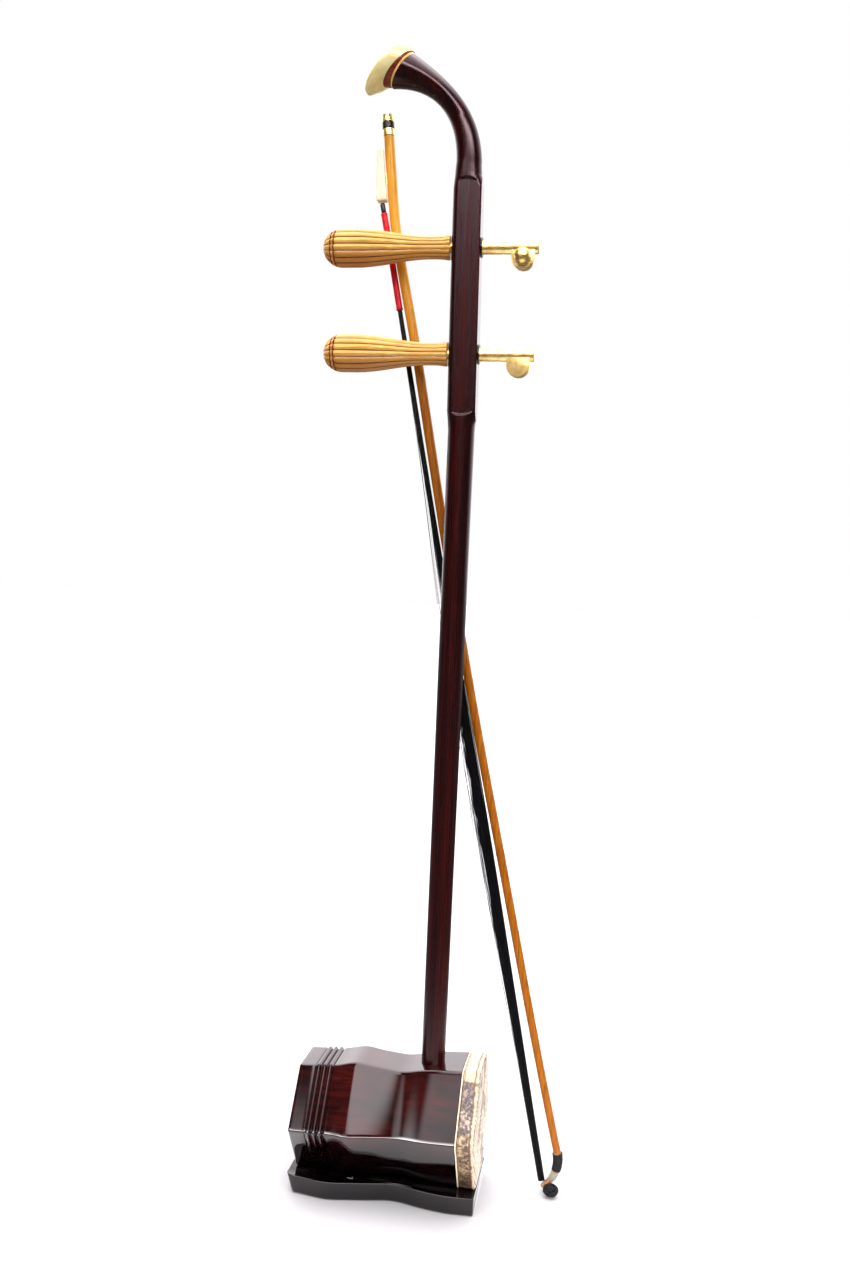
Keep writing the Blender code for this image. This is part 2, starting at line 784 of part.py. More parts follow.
def stick_x(z):
    """The stick's axis: a long slight curve, set straighter where the frog slides."""
    down = BOW_TOP - z
    long_curve = -70.2 + 0.1745 * down + 0.0000535 * down ** 2
    set_back = 0.032 * max(z - 715.0, 0.0) - 2.7 * bump(z, 707.0, 60.0)
    return long_curve + set_back + bump(z, 230.0, 100.0)


def stick_slope(z):
    return (stick_x(z - 1.0) - stick_x(z + 1.0)) / 2.0


def hair_x(z):
    """The hair runs straight from the frog to the tip."""
    return HAIR_FOOT_X - HAIR_SLOPE * z + 0.6 * bump(z, 690.0, 70.0)


def hair_half_width(z):
    """The hair is bound tight above and spreads into a ribbon below."""
    spread = 0.25 * min(max((640.0 - z) / 40.0, 0.0), 1.0)
    spread += 1.05 * min(max((450.0 - z) / 130.0, 0.0), 1.0)
    return 1.9 + spread - 0.5 * min(max((110.0 - z) / 100.0, 0.0), 1.0)


def disc(x, z, slope, half_width, half_depth, sides):
    """An upright bundle's ring in the bow's plane, square to its run."""
    tilt = math.atan(slope)
    ring = []
    for step in range(sides):
        angle = 2.0 * math.pi * step / sides
        across = half_width * math.cos(angle)
        ring.append((x + across * math.cos(tilt), BOW_DEPTH + half_depth * math.sin(angle),
                     z + across * math.sin(tilt)))
    return ring


def stick_path():
    """Points and radii of the stick from its top, down the long curve and round the bent tip."""
    path = []
    steps = 18
    for step in range(steps + 1):
        share = step / steps
        z = mix(STICK_TOP, STICK_BEND_START, share)
        path.append((stick_x(z), z, mix(STICK_RADIUS_TOP, STICK_RADIUS_LOW, share)))
    turns = 6
    for turn in range(1, turns + 1):
        place, along = bend_place(turn / turns)
        path.append((place.x, place.y, mix(STICK_RADIUS_LOW, BEND_END_RADIUS, turn / turns)))
    end = place + TIP_LENGTH * along
    path.append((end.x, end.y, TIP_RADIUS))
    return path


def bend_place(share):
    """A place on the bent tip's arc, and the way the stick runs there."""
    heading = -math.atan2(1.0, stick_slope(STICK_BEND_START))
    start = Vector((stick_x(STICK_BEND_START), STICK_BEND_START))
    centre = start + BEND_RADIUS * Vector((math.sin(heading), -math.cos(heading)))
    angle = heading - BEND_ANGLE * share
    place = centre - BEND_RADIUS * Vector((math.sin(angle), -math.cos(angle)))
    return place, Vector((math.cos(angle), math.sin(angle)))


def make_stick(tail):
    """The cane stick, bored and slotted at its top for the frog's screw."""
    curve = bpy.data.curves.new("bow_stick", "CURVE")
    curve.dimensions = "3D"
    curve.bevel_depth = MM
    curve.bevel_resolution = 2
    curve.use_fill_caps = True
    path = stick_path()
    spline = curve.splines.new("POLY")
    spline.points.add(len(path) - 1)
    for point, (x, z, radius) in zip(spline.points, path):
        point.co = (x * MM, BOW_DEPTH * MM, z * MM, 1.0)
        point.radius = radius
    drawn = bpy.data.objects.new("bow_stick_run", curve)
    stick = curve_to_mesh("bow_stick", drawn, cane())
    shade(stick)
    bore = cylinder("screw_bore", 2.3, (0, 0, -60), (0, 0, 4), sides=16, parent=tail)
    cut(stick, bore)
    slot = box("frog_slot", (-8, -1.9, -44), (0, 1.9, -18), parent=tail)
    cut(stick, slot)


def make_frog(tail):
    """The frog, its nut on the long screw, and the button that turns the screw."""
    turned("bow_ferrule", tube_profile(1.7, 4.1, 5.4, GAP), brass(), parent=tail, closed=True)
    turned("bow_button_ring", tube_profile(1.4, 4.4, 10.2, 5.7), black_plastic(), parent=tail,
           closed=True)
    cap_profile = [(0.0, 15.7), (3.7, 15.7), (4.15, 15.2), (4.15, 10.5), (1.4, 10.5),
                   (1.4, 13.6), (0.0, 13.6)]
    turned("bow_button_cap", cap_profile, brass(), parent=tail)
    turned("bow_screw_rod", [(0.0, 13.3), (1.0, 13.3), (1.0, -56.0), (0.0, -56.0)], steel(),
           parent=tail, sides=12)
    frog_sections = []
    for height, outer in ((-9.0, -8.9), (-16.0, -9.9), (-44.0, -12.3), (-46.8, -11.9)):
        frog_sections.append([(outer, -4.0, height), (outer, 4.0, height), (-4.3, 4.0, height),
                              (-4.3, -4.0, height)])
    frog = loft("bow_frog", frog_sections, bone(), parent=tail)
    bevel(frog, 1.0)
    nut = box("bow_frog_nut", (-4.0, -1.6, -35.0), (1.6, 1.6, -27.0), brass(), parent=tail)
    cut(nut, cylinder("nut_hole", 1.25, (0, 0, -40), (0, 0, -20), sides=12, parent=tail))


def make_hair():
    """The horse hair with its tied upper end, red sleeve and knot at the tip."""
    def ring(z, half_width, half_depth, sides=12):
        slope = (hair_x(z - 1.0) - hair_x(z + 1.0)) / 2.0
        return disc(hair_x(z), z, slope, half_width, half_depth, sides)

    steps = 22
    heights = [mix(HAIR_TOP, HAIR_END, step / steps) for step in range(steps + 1)]
    loft("bow_hair", [ring(z, hair_half_width(z), 1.9, 8) for z in heights], horse_hair())
    loft("bow_hair_end", [ring(z, 1.9, 2.2) for z in (728.4, 721.6)], black_plastic())
    walls = [ring(mix(721.3, 650.0, step / 6), 2.5, 2.8) for step in range(7)]
    opening = [ring(z, 2.2, 2.2) for z in (650.0, 661.0, 672.0)]
    loft("bow_sleeve", walls + opening, red_sleeve())


def make_tip_windings():
    """Black and pale windings round the bend, and the knot of hair beside the tip."""
    def ring(share, radius):
        place, along = bend_place(share)
        side = Vector((along.y, -along.x))
        made = []
        for step in range(16):
            angle = 2.0 * math.pi * step / 16
            across = place + side * radius * math.cos(angle)
            made.append((across.x, BOW_DEPTH + radius * math.sin(angle), across.y))
        return made

    for name, start, end, outer, look in (("bow_tip_binding", 0.01, 0.52, 4.0, black_plastic()),
                                          ("bow_tip_thread", 0.54, 0.80, 3.5, grey_thread())):
        shares = [mix(start, end, step / 4) for step in range(5)]
        bore = [mix(STICK_RADIUS_LOW, BEND_END_RADIUS, share) + GAP for share in shares]
        rings = [ring(share, outer - 0.6 * share) for share in shares]
        rings += [ring(share, radius) for share, radius in zip(reversed(shares), reversed(bore))]
        loft_loop(name, rings, look)
    knot = turned("bow_hair_knot", [(4.6 * math.sin(math.radians(turn)),
                                     4.6 * math.cos(math.radians(turn)))
                                    for turn in range(0, 181, 20)],
                  horse_hair(), (90.4, BOW_DEPTH - 8.0, 5.5), (0.0, math.radians(65), 0.0),
                  sides=16)
    knot.data.transform(Matrix.Diagonal((1.0, 1.0, 1.35, 1.0)))


def make_bow():
    tail = bpy.data.objects.new("bow_tail", None)
    ERHU.objects.link(tail)
    tail.location = Vector((stick_x(STICK_TOP), BOW_DEPTH, STICK_TOP)) * MM
    tail.rotation_euler = (0.0, -math.atan(stick_slope(STICK_TOP - 12.0)), 0.0)
    make_stick(tail)
    make_frog(tail)
    make_hair()
    make_tip_windings()


# ---------------------------------------------------------------- build

SCREW_HOLE = cylinder("screw_hole", SCREW_RADIUS + GAP, (SCREW_X, 0, -1), (SCREW_X, 0, 18), sides=16)
make_staves(SCREW_HOLE)
make_skin()
make_edge_band()
make_sound_window()
make_base(SCREW_HOLE)
make_neck()
make_head()
make_peg("upper", UPPER_PEG_HEIGHT, UPPER_HANDLE_LENGTH, -1.0)
make_peg("lower", LOWER_PEG_HEIGHT, LOWER_HANDLE_LENGTH, 1.0)
make_bow()
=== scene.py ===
"""Looks of an erhu and its bow: fine surfaces, materials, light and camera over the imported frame.

Lengths are written in millimetres and made into metres where a mesh is built.
"""
import json
import math
import random

import bmesh
import bpy
from mathutils import Matrix, Vector, noise


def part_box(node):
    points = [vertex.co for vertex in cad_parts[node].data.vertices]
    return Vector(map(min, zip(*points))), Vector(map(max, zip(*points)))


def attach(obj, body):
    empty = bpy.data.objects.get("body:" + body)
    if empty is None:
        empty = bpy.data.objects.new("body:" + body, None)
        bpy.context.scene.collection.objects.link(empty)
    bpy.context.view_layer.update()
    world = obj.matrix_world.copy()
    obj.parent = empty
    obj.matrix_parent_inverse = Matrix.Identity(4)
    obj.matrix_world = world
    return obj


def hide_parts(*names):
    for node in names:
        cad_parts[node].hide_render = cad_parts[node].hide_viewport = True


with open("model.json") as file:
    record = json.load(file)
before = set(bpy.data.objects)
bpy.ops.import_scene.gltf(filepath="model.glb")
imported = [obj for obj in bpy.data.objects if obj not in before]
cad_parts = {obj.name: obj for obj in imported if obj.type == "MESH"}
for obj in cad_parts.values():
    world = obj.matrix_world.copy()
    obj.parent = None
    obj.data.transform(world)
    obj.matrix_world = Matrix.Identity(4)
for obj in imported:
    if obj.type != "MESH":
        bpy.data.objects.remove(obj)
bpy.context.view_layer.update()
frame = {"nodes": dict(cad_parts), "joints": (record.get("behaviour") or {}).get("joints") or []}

MM = 0.001
JOINTS = {joint["name"]: joint for joint in frame["joints"]}


# ---------------------------------------------------------------- sizes

def extent(node, axis):
    """Lowest and highest millimetre of a CAD node along one axis."""
    low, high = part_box(node)
    return low[axis] / MM, high[axis] / MM


TUBE_BACK, TUBE_FRONT = extent("stave_top", 0)
SKIN_BACK, SKIN_FRONT = extent("snakeskin", 0)
BAND_BACK, BAND_FRONT = extent("skin_edge_band", 0)
TUBE_SEAT = 13.4
TUBE_WALL = 7.5
TUBE_CORNER = 1.5
SKIN_STEP = 0.4
SKIN_THICKNESS = 1.1
SKIN_ROLL = 2.2
SKIN_RELIEF = 0.75
SCALE_WIDTH = 4.2
SCALE_LENGTH = 4.6
RIM_END = -84.5
BEADS_END = -71.5
BEAD_COUNT = 3
WAIST_PINCH = 2.0
WINDOW_THICKNESS = 3.0
WINDOW_EDGE = 0.3
HOLE_RADIUS = 6.3
HOLE_CIRCLE = 19.0
HOLE_BEAD = 0.9

BASE_FRONT = extent("base", 0)[1]
BASE_BACK = -98.0
BASE_HALF_WIDTH = 31.6
BASE_SIDE_TOP = 13.3
BASE_FOOT = 2.0
BASE_SHOULDER = 0.7

NECK_BOTTOM = extent("neck", 2)[0]
NECK_STRAIGHT_TOP = 560.0
NECK_LEAN = math.radians(0.94)
NECK_SIDES = 128
PEG_SECTION_LOW = 571.0
PEG_SECTION_HIGH = 737.0
PEG_FLAT_HALF = 8.3
PEG_FRONT_FLAT = 10.65
ARCH_HALF_WIDTH = 13.0
ARCH_RISE = 7.2
CAP_DOME = 6.2

HANDLE_LENGTH = 94.0
HANDLE_RADIUS = 13.6
HANDLE_NECK_RADIUS = 8.0
HANDLE_DOME_START = 80.0
HANDLE_DOME = 14.4
REEDS = 16
POINTS_PER_REED = 12
REED_DEPTH = 0.085
KNOT_X = -50.0
KNOT_REACH = 3.0
SHAFT_RADIUS = 4.8
LUG_RADIUS = 8.4
LUG_DROP = 7.6
LUG_HALF_THICKNESS = 4.1
LUG_CENTRE = JOINTS["upper_knob_turn"]["pos_m"][0] / MM
KNOB_RADIUS = 5.7

BOW_DEPTH = JOINTS["bow_screw_turn"]["pos_m"][1] / MM
BOW_TOP = 791.4
STICK_TOP = JOINTS["bow_screw_turn"]["pos_m"][2] / MM
STICK_NODES = (118.0, 252.0, 378.0, 492.0, 598.0, 700.0)
STICK_BEND_START = 31.0
STICK_RADIUS_TOP = 3.9
STICK_RADIUS_LOW = 2.9
BEND_RADIUS = 26.0
BEND_ANGLE = math.radians(60)
BEND_END_RADIUS = 2.6
TIP_LENGTH = 4.0
HAIR_SLOPE = 0.212
HAIR_FOOT_X = 84.6
HAIR_TOP = 664.0
HAIR_END = 9.0
HAIR_COUNT = 260
HAIR_STEPS = 30
LOOSE_REACH = 7.0
KNOT_LOOPS = 46
KNOT_HAIR = 0.42


# ---------------------------------------------------------------- mesh tools

def mix(low, high, share):
    return low + (high - low) * share


def evenly(low, high, steps):
    """Numbers at equal steps from low to high, with both ends."""
    return [mix(low, high, step / steps) for step in range(steps + 1)]


def circle(sides, start=0.0):
    """The cosine and sine at equal steps round a circle."""
    angles = [2.0 * math.pi * (step + start) / sides for step in range(sides)]
    return [(math.cos(angle), math.sin(angle)) for angle in angles]


def smooth(low, high, value):
    """0 below low, 1 above high and a smooth rise between."""
    share = min(max((value - low) / (high - low), 0.0), 1.0)
    return share * share * (3.0 - 2.0 * share)


def bump(position, centre, width):
    return math.exp(-((position - centre) / width) ** 2)


def wobble(seed, x, y=0.0, z=0.0):
    """Smooth noise between about -1 and 1, the same every run."""
    return noise.noise(Vector((x + 17.3 * seed, y - 9.1 * seed, z + seed)))


def shade(piece, angle=40.0):
    piece.data.shade_smooth()
    piece.data.set_sharp_from_angle(angle=math.radians(angle))


def join_frame(piece, body, looks, slot, *replaced):
    """Give a new piece its materials, hang it on its body and hide the CAD parts it replaces."""
    for look in looks:
        piece.data.materials.append(look)
    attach(piece, body)
    if replaced:
        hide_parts(*replaced)
    return piece


def loft(name, rings, origin=(0.0, 0.0, 0.0), caps=(True, True), loop=False, angle=40.0):
    """A surface through rings of equally many points, with end caps or joined in a loop."""
    count = len(rings[0])
    start = Vector(origin)
    points = [(Vector(point) - start) * MM for ring in rings for point in ring]
    faces = []
    for row in range(len(rings) if loop else len(rings) - 1):
        below = (row + 1) % len(rings) * count
        for column in range(count):
            beside = (column + 1) % count
            faces.append((row * count + column, row * count + beside, below + beside,
                          below + column))
    for capped, first in zip(caps, (0, len(points) - count)):
        if capped and not loop:
            faces.append(tuple(range(first, first + count)))
    mesh = bpy.data.meshes.new(name)
    mesh.from_pydata(points, [], faces)
    work = bmesh.new()
    work.from_mesh(mesh)
    bmesh.ops.recalc_face_normals(work, faces=work.faces)
    work.to_mesh(mesh)
    work.free()
    piece = bpy.data.objects.new(name, mesh)
    piece.location = start * MM
    bpy.context.scene.collection.objects.link(piece)
    shade(piece, angle)
    return piece


def turned(name, profile, place, axis, loop=False):
    """A profile of (radius, height) points turned about an axis through a place."""
    turn = Vector((0.0, 0.0, 1.0)).rotation_difference(Vector(axis))
    start = Vector(place)
    rings = [[start + turn @ Vector((radius * across, radius * up, height))
              for across, up in circle(48)] for radius, height in profile]
    return loft(name, rings, origin=place, loop=loop, angle=30.0)


def curve_object(name, dimensions, bevel, resolution, lines, closed=False):
    """A curve object with a round bevel. A line is its points and their bevel's radius."""
    curve = bpy.data.curves.new(name, "CURVE")
    curve.dimensions = dimensions
    curve.bevel_depth = bevel * MM
    curve.bevel_resolution = resolution
    for path, radius in lines:
        spline = curve.splines.new("POLY")
        spline.points.add(len(path) - 1)
        spline.use_cyclic_u = closed
        for point, place in zip(spline.points, path):
            point.co = (*(Vector(place) * MM), 1.0)
            point.radius = radius
    piece = bpy.data.objects.new(name, curve)
    bpy.context.scene.collection.objects.link(piece)
    return piece


def strands(name, lines, sides=0):
    """Many thin round strands as one curve object."""
    piece = curve_object(name, "3D", 1.0, sides, lines)
    piece.data.use_fill_caps = True
    return piece


# ---------------------------------------------------------------- node tools

class Nodes:
    """Short calls that build a node tree."""

    def __init__(self, tree):
        self.tree = tree

    def feed(self, socket, value):
        """Link a node's output into a socket, or set the socket to a plain value."""
        if isinstance(value, bpy.types.NodeSocket):
            self.tree.links.new(value, socket)
        elif socket.type == "RGBA":
            socket.default_value = (*value, 1.0)
        else:
            socket.default_value = value

    def add(self, kind, inputs, output=0, **settings):
        """A new node with its settings and inputs. Gives back one of its outputs."""
        made = self.tree.nodes.new("ShaderNode" + kind)
        for name, value in settings.items():
            setattr(made, name, value)
        for name, value in inputs.items():
            self.feed(made.inputs[name], value)
        return made.outputs[output]

    def do(self, operation, first, *others):
        """A sum of one or two values, or of more in turn."""
        made = first
        for other in others or (0.0,):
            made = self.add("Math", {0: made, 1: other}, operation=operation)
        return made

    def gap(self, first, second):
        """How far apart two values are."""
        return self.do("ABSOLUTE", self.do("SUBTRACT", first, second))

    def rise(self, value, low, high, start=0.0, end=1.0):
        """A smooth change from start to end as a value goes from low to high."""
        limits = {"From Min": low, "From Max": high, "To Min": start, "To Max": end}
        return self.add("MapRange", {"Value": value, **limits}, interpolation_type="SMOOTHSTEP")

    def vector(self, x, y, z=0.0):
        return self.add("CombineXYZ", {0: x, 1: y, 2: z})

    def split(self, vector):
        """The x, y and z of a vector."""
        return tuple(self.add("SeparateXYZ", {0: vector}).node.outputs)

    def distance(self, vector):
        return self.add("VectorMath", {0: vector}, "Value", operation="LENGTH")


class Look(Nodes):
    """A Principled material and the patterns that drive it."""

    FINISH = {"roughness": "Roughness", "metallic": "Metallic", "specular": "Specular IOR Level",
              "tint": "Specular Tint", "coat": "Coat Weight", "coat_roughness": "Coat Roughness",
              "coat_ior": "Coat IOR"}

    def __init__(self, name, **finish):
        self.material = bpy.data.materials.new(name)
        self.material.use_nodes = True
        super().__init__(self.material.node_tree)
        self.shader = self.tree.nodes["Principled BSDF"]
        for part, value in finish.items():
            self.feed(self.shader.inputs[self.FINISH[part]], value)

    def place(self, stretch=(1.0, 1.0, 1.0)):
        """The surface point in millimetres, in the piece's own axes, stretched."""
        where = self.add("TexCoord", {}, "Object")
        scale = tuple(part / MM for part in stretch)
        return self.add("VectorMath", {0: where, 1: scale}, operation="MULTIPLY")

    def axes(self):
        """The surface point's x, y and z in millimetres."""
        return self.split(self.place())

    def clouds(self, scale, stretch=(1.0, 1.0, 1.0), detail=3.0, roughness=0.55, distortion=0.0,
               vector=None):
        """Noise with features about 1/scale millimetres wide."""
        return self.add("TexNoise", {"Scale": scale, "Detail": detail, "Roughness": roughness,
                                     "Distortion": distortion,
                                     "Vector": vector or self.place(stretch)}, "Fac")

    def ramp(self, value, *stops):
        """A colour ramp from (position, colour) stops."""
        made = self.add("ValToRGB", {"Fac": value}).node
        elements = made.color_ramp.elements
        while len(elements) < len(stops):
            elements.new(0.5)
        for element, (position, colour) in zip(elements, stops):
            element.position = position
            element.color = (*colour, 1.0)
        return made.outputs["Color"]

    def blend(self, share, first, second, kind="MIX"):
        return self.add("Mix", {0: share, 6: first, 7: second}, 2, data_type="RGBA",
                        blend_type=kind, clamp_factor=True)

    def colour(self, value):
        self.feed(self.shader.inputs["Base Color"], value)

    def roughness(self, value):
        self.feed(self.shader.inputs["Roughness"], value)

    def relief(self, height, depth):
        """Bump of a given depth in millimetres."""
        bumped = self.add("Bump", {"Distance": depth * MM, "Strength": 1.0, "Height": height},
                          "Normal")
        self.feed(self.shader.inputs["Normal"], bumped)


# ---------------------------------------------------------------- materials

def two_tone(name, scale, deep, pale, relief=0.0, stretch=(1.0, 1.0, 1.0), detail=3.0,
             span=(0.3, 0.7), rubbed=None, **finish):
    """One noise that sets the colour between two tones, the bump and how rubbed it is."""
    look = Look(name, **finish)
    grain = look.clouds(scale, stretch, detail)
    look.colour(look.ramp(grain, (span[0], deep), (span[1], pale)))
    if rubbed:
        look.roughness(look.rise(grain, *span, *rubbed))
    if relief:
        look.relief(grain, relief)
    return look.material


def rosewood():
    """Near-black rosewood with dark red streaks along Z, oiled and rubbed."""
    look = Look("black_rosewood", roughness=0.28, specular=0.25, tint=(1.0, 0.76, 0.80))
    height = look.axes()[2]
    streak = look.clouds(0.9, (1.0, 1.0, 0.03), detail=5.0, distortion=0.3)
    band = look.clouds(0.16, (1.0, 1.0, 0.02), detail=2.0)
    wood = look.ramp(streak, (0.30, (0.005, 0.0006, 0.0007)), (0.50, (0.015, 0.0013, 0.0013)),
                     (0.70, (0.030, 0.0028, 0.0022)))
    tone = look.ramp(band, (0.35, (0.45, 0.45, 0.55)), (0.65, (1.5, 1.15, 1.05)))
    look.colour(look.blend(1.0, wood, tone, "MULTIPLY"))
    pores = look.clouds(2.6, (1.0, 1.0, 0.06), detail=2.0)
    rubbed = look.rise(height, PEG_SECTION_HIGH + 1.0, PEG_SECTION_HIGH + 15.0, 0.25, 0.19)
    look.roughness(look.do("ADD", rubbed, look.rise(streak, 0.3, 0.7, 0.03, -0.03)))
    look.relief(pores, 0.04)
    return look.material


def lacquer():
    """Clear gloss over dark red-brown wood, with faint grain, slow waves in the finish and painted
    shade on the tube's lower part.
    """
    look = Look("red_brown_lacquer", roughness=0.5, specular=0.0, coat=1.0, coat_roughness=0.045,
                coat_ior=1.6)
    grain = look.clouds(0.45, (0.05, 1.0, 1.0), detail=5.0, distortion=0.4)
    patch = look.clouds(0.045, (0.6, 1.0, 1.0), detail=2.0)
    wood = look.ramp(grain, (0.3, (0.010, 0.0010, 0.0011)), (0.5, (0.024, 0.0024, 0.0022)),
                     (0.7, (0.040, 0.0045, 0.0032)))
    tone = look.ramp(patch, (0.35, (0.35, 0.4, 0.5)), (0.65, (1.3, 1.1, 1.0)))
    wood = look.blend(1.0, wood, tone, "MULTIPLY")
    # Painted shade: below about 40 to 52 mm up, the wood colour turns near-black.
    underside = look.rise(look.axes()[2], 40.0, 52.0, 0.88, 0.0)
    look.colour(look.blend(underside, wood, (0.0012, 0.0008, 0.001)))
    look.relief(look.clouds(0.07, (0.6, 1.0, 1.0)), 0.25)
    return look.material


def black_lacquer():
    """Black gloss with a breath of dust on it."""
    look = Look("black_lacquer", roughness=0.5, specular=0.0, coat=1.0, coat_roughness=0.06,
                coat_ior=1.38)
    haze = look.clouds(0.05, detail=4.0)
    look.colour(look.ramp(haze, (0.35, (0.0015, 0.001, 0.0015)), (0.7, (0.006, 0.003, 0.0035))))
    dust = look.clouds(1.4, detail=2.0)
    look.roughness(look.rise(dust, 0.5, 0.75, 0.45, 0.65))
    look.relief(look.clouds(0.07), 0.2)
    return look.material


def bone(name, deep, pale):
    """Cream bone between two tones, with faint long pores."""
    look = Look(name, roughness=0.32, coat=0.2, coat_roughness=0.15)
    look.shader.inputs["Subsurface Weight"].default_value = 0.12
    look.shader.inputs["Subsurface Radius"].default_value = (0.004, 0.0025, 0.0012)
    cream = look.ramp(look.clouds(0.07), (0.35, deep), (0.65, pale))
    pores = look.clouds(1.8, (0.35, 1.0, 0.35))
    look.colour(look.blend(look.rise(pores, 0.62, 0.8, 0.0, 0.1), cream, (0.50, 0.34, 0.14)))
    look.relief(pores, 0.008)
    return look.material


def boxwood():
    """Honey boxwood with painted shade browning its lower side and darkening the grooves between its
    reeds, and one knot.
    """
    look = Look("yellow_boxwood", roughness=0.4, specular=0.25, coat=0.12, coat_roughness=0.15)
    x, y, z = look.axes()
    around = look.do("MULTIPLY", look.do("ARCTAN2", z, y), REEDS / (2.0 * math.pi))
    phase = look.do("FRACT", look.do("ADD", around, 64.0))
    grain = look.clouds(0.9, (0.04, 1.0, 1.0), detail=4.0, distortion=0.3)
    figure = look.clouds(0.12, (0.10, 1.0, 1.0), detail=2.0)
    honey = look.ramp(grain, (0.28, (0.60, 0.29, 0.050)), (0.5, (0.80, 0.45, 0.095)),
                      (0.72, (0.88, 0.57, 0.14)))
    tone = look.ramp(figure, (0.35, (0.86, 0.78, 0.66)), (0.6, (1.0, 1.0, 1.0)))
    wood = look.blend(1.0, honey, tone, "MULTIPLY")
    # Painted shade: the handle turns browner towards its lower side, below the peg's axis.
    wood = look.blend(look.rise(z, -11.0, 1.0, 0.85, 0.0), wood, (0.40, 0.14, 0.020))
    patchy = look.clouds(0.25, (0.15, 1.0, 1.0), detail=2.0)
    # Painted shade in the grooves between the reeds, stronger in patches.
    groove = look.do("MULTIPLY", look.rise(look.gap(phase, 0.5), 0.34, 0.48),
                     look.rise(patchy, 0.25, 0.6, 0.6, 1.0))
    knot = look.vector(look.do("SUBTRACT", x, KNOT_X), y, look.do("SUBTRACT", z, -2.0))
    near_knot = look.do("ADD", look.distance(knot), look.do("MULTIPLY", patchy, 1.6))
    ring = look.rise(look.gap(near_knot, KNOT_REACH), 0.2, 0.9, 0.7, 0.0)
    # The grooves' painted shade and the knot's ring share one dark brown.
    marks = look.do("MAXIMUM", groove, look.do("MULTIPLY", ring, look.rise(y, -2.0, -5.0)))
    look.colour(look.blend(marks, wood, (0.15, 0.045, 0.008)))
    look.roughness(look.rise(grain, 0.3, 0.7, 0.45, 0.33))
    look.relief(grain, 0.03)
    return look.material


def brass():
    """Turned brass with brown tarnish and fine scratches."""
    look = Look("brass", roughness=0.25, metallic=1.0)
    tarnish = look.clouds(0.22, detail=4.0)
    look.colour(look.ramp(tarnish, (0.35, (0.70, 0.44, 0.13)), (0.6, (0.92, 0.68, 0.27))))
    look.roughness(look.rise(look.clouds(2.5), 0.35, 0.7, 0.32, 0.46))
    look.relief(look.clouds(5.0, (1.0, 0.1, 0.1), detail=1.0), 0.002)
    return look.material


def faced_brass():
    """The lugs' flat faces, turned on a lathe: rings round each lug's centre."""
    look = Look("faced_brass", roughness=0.3, metallic=1.0)
    x, _, z = look.axes()
    rings = look.do("MULTIPLY", look.distance(look.vector(x, 0.0, z)), 7.0)
    groove = look.clouds(1.0, detail=2.0, vector=look.vector(rings, 0.0))
    tarnish = look.clouds(0.22, detail=4.0)
    look.colour(look.ramp(tarnish, (0.35, (0.72, 0.47, 0.15)), (0.6, (0.92, 0.68, 0.27))))
    look.roughness(look.rise(groove, 0.3, 0.7, 0.32, 0.46))
    look.relief(groove, 0.05)
    return look.material


def scale_lattice(look, y, z):
    """Diamond scales: each one's place in whole numbers, and the distance from its edge."""
    across = look.do("DIVIDE", y, SCALE_WIDTH)
    up = look.do("DIVIDE", z, SCALE_LENGTH)
    ways = (look.do("ADD", across, up), look.do("SUBTRACT", across, up))
    cell = look.vector(*(look.do("FLOOR", way) for way in ways))
    off_centre = [look.gap(look.do("FRACT", way), 0.5) for way in ways]
    return cell, look.do("SUBTRACT", 0.5, look.do("MAXIMUM", *off_centre))


def snake_front():
    """The stretched membrane: cream scales, pale brown saddle marks, thin skin between scales."""
    look = Look("snakeskin_front", roughness=0.42, coat=0.25, coat_roughness=0.25)
    _, y, z = look.axes()
    cell, edge = scale_lattice(look, y, z)
    own = look.add("TexWhiteNoise", {"Vector": cell}, "Value", noise_dimensions="2D")
    marks = look.clouds(0.16, detail=1.0, vector=cell)
    cream = look.ramp(own, (0.0, (0.36, 0.28, 0.18)), (0.5, (0.48, 0.39, 0.27)),
                      (1.0, (0.60, 0.51, 0.38)))
    brown = look.ramp(own, (0.0, (0.09, 0.055, 0.035)), (1.0, (0.26, 0.18, 0.11)))
    outer = look.rise(look.do("ABSOLUTE", y), 12.0, 30.0, 0.0, 0.2)
    scales = look.blend(look.rise(look.do("SUBTRACT", marks, outer), 0.52, 0.57), cream, brown)
    look.colour(look.blend(look.rise(edge, 0.03, 0.15, 0.9, 0.0), scales, (0.05, 0.032, 0.022)))
    look.roughness(look.rise(edge, 0.02, 0.2, 0.6, 0.36))
    look.relief(look.clouds(1.6), 0.06)
    return look.material


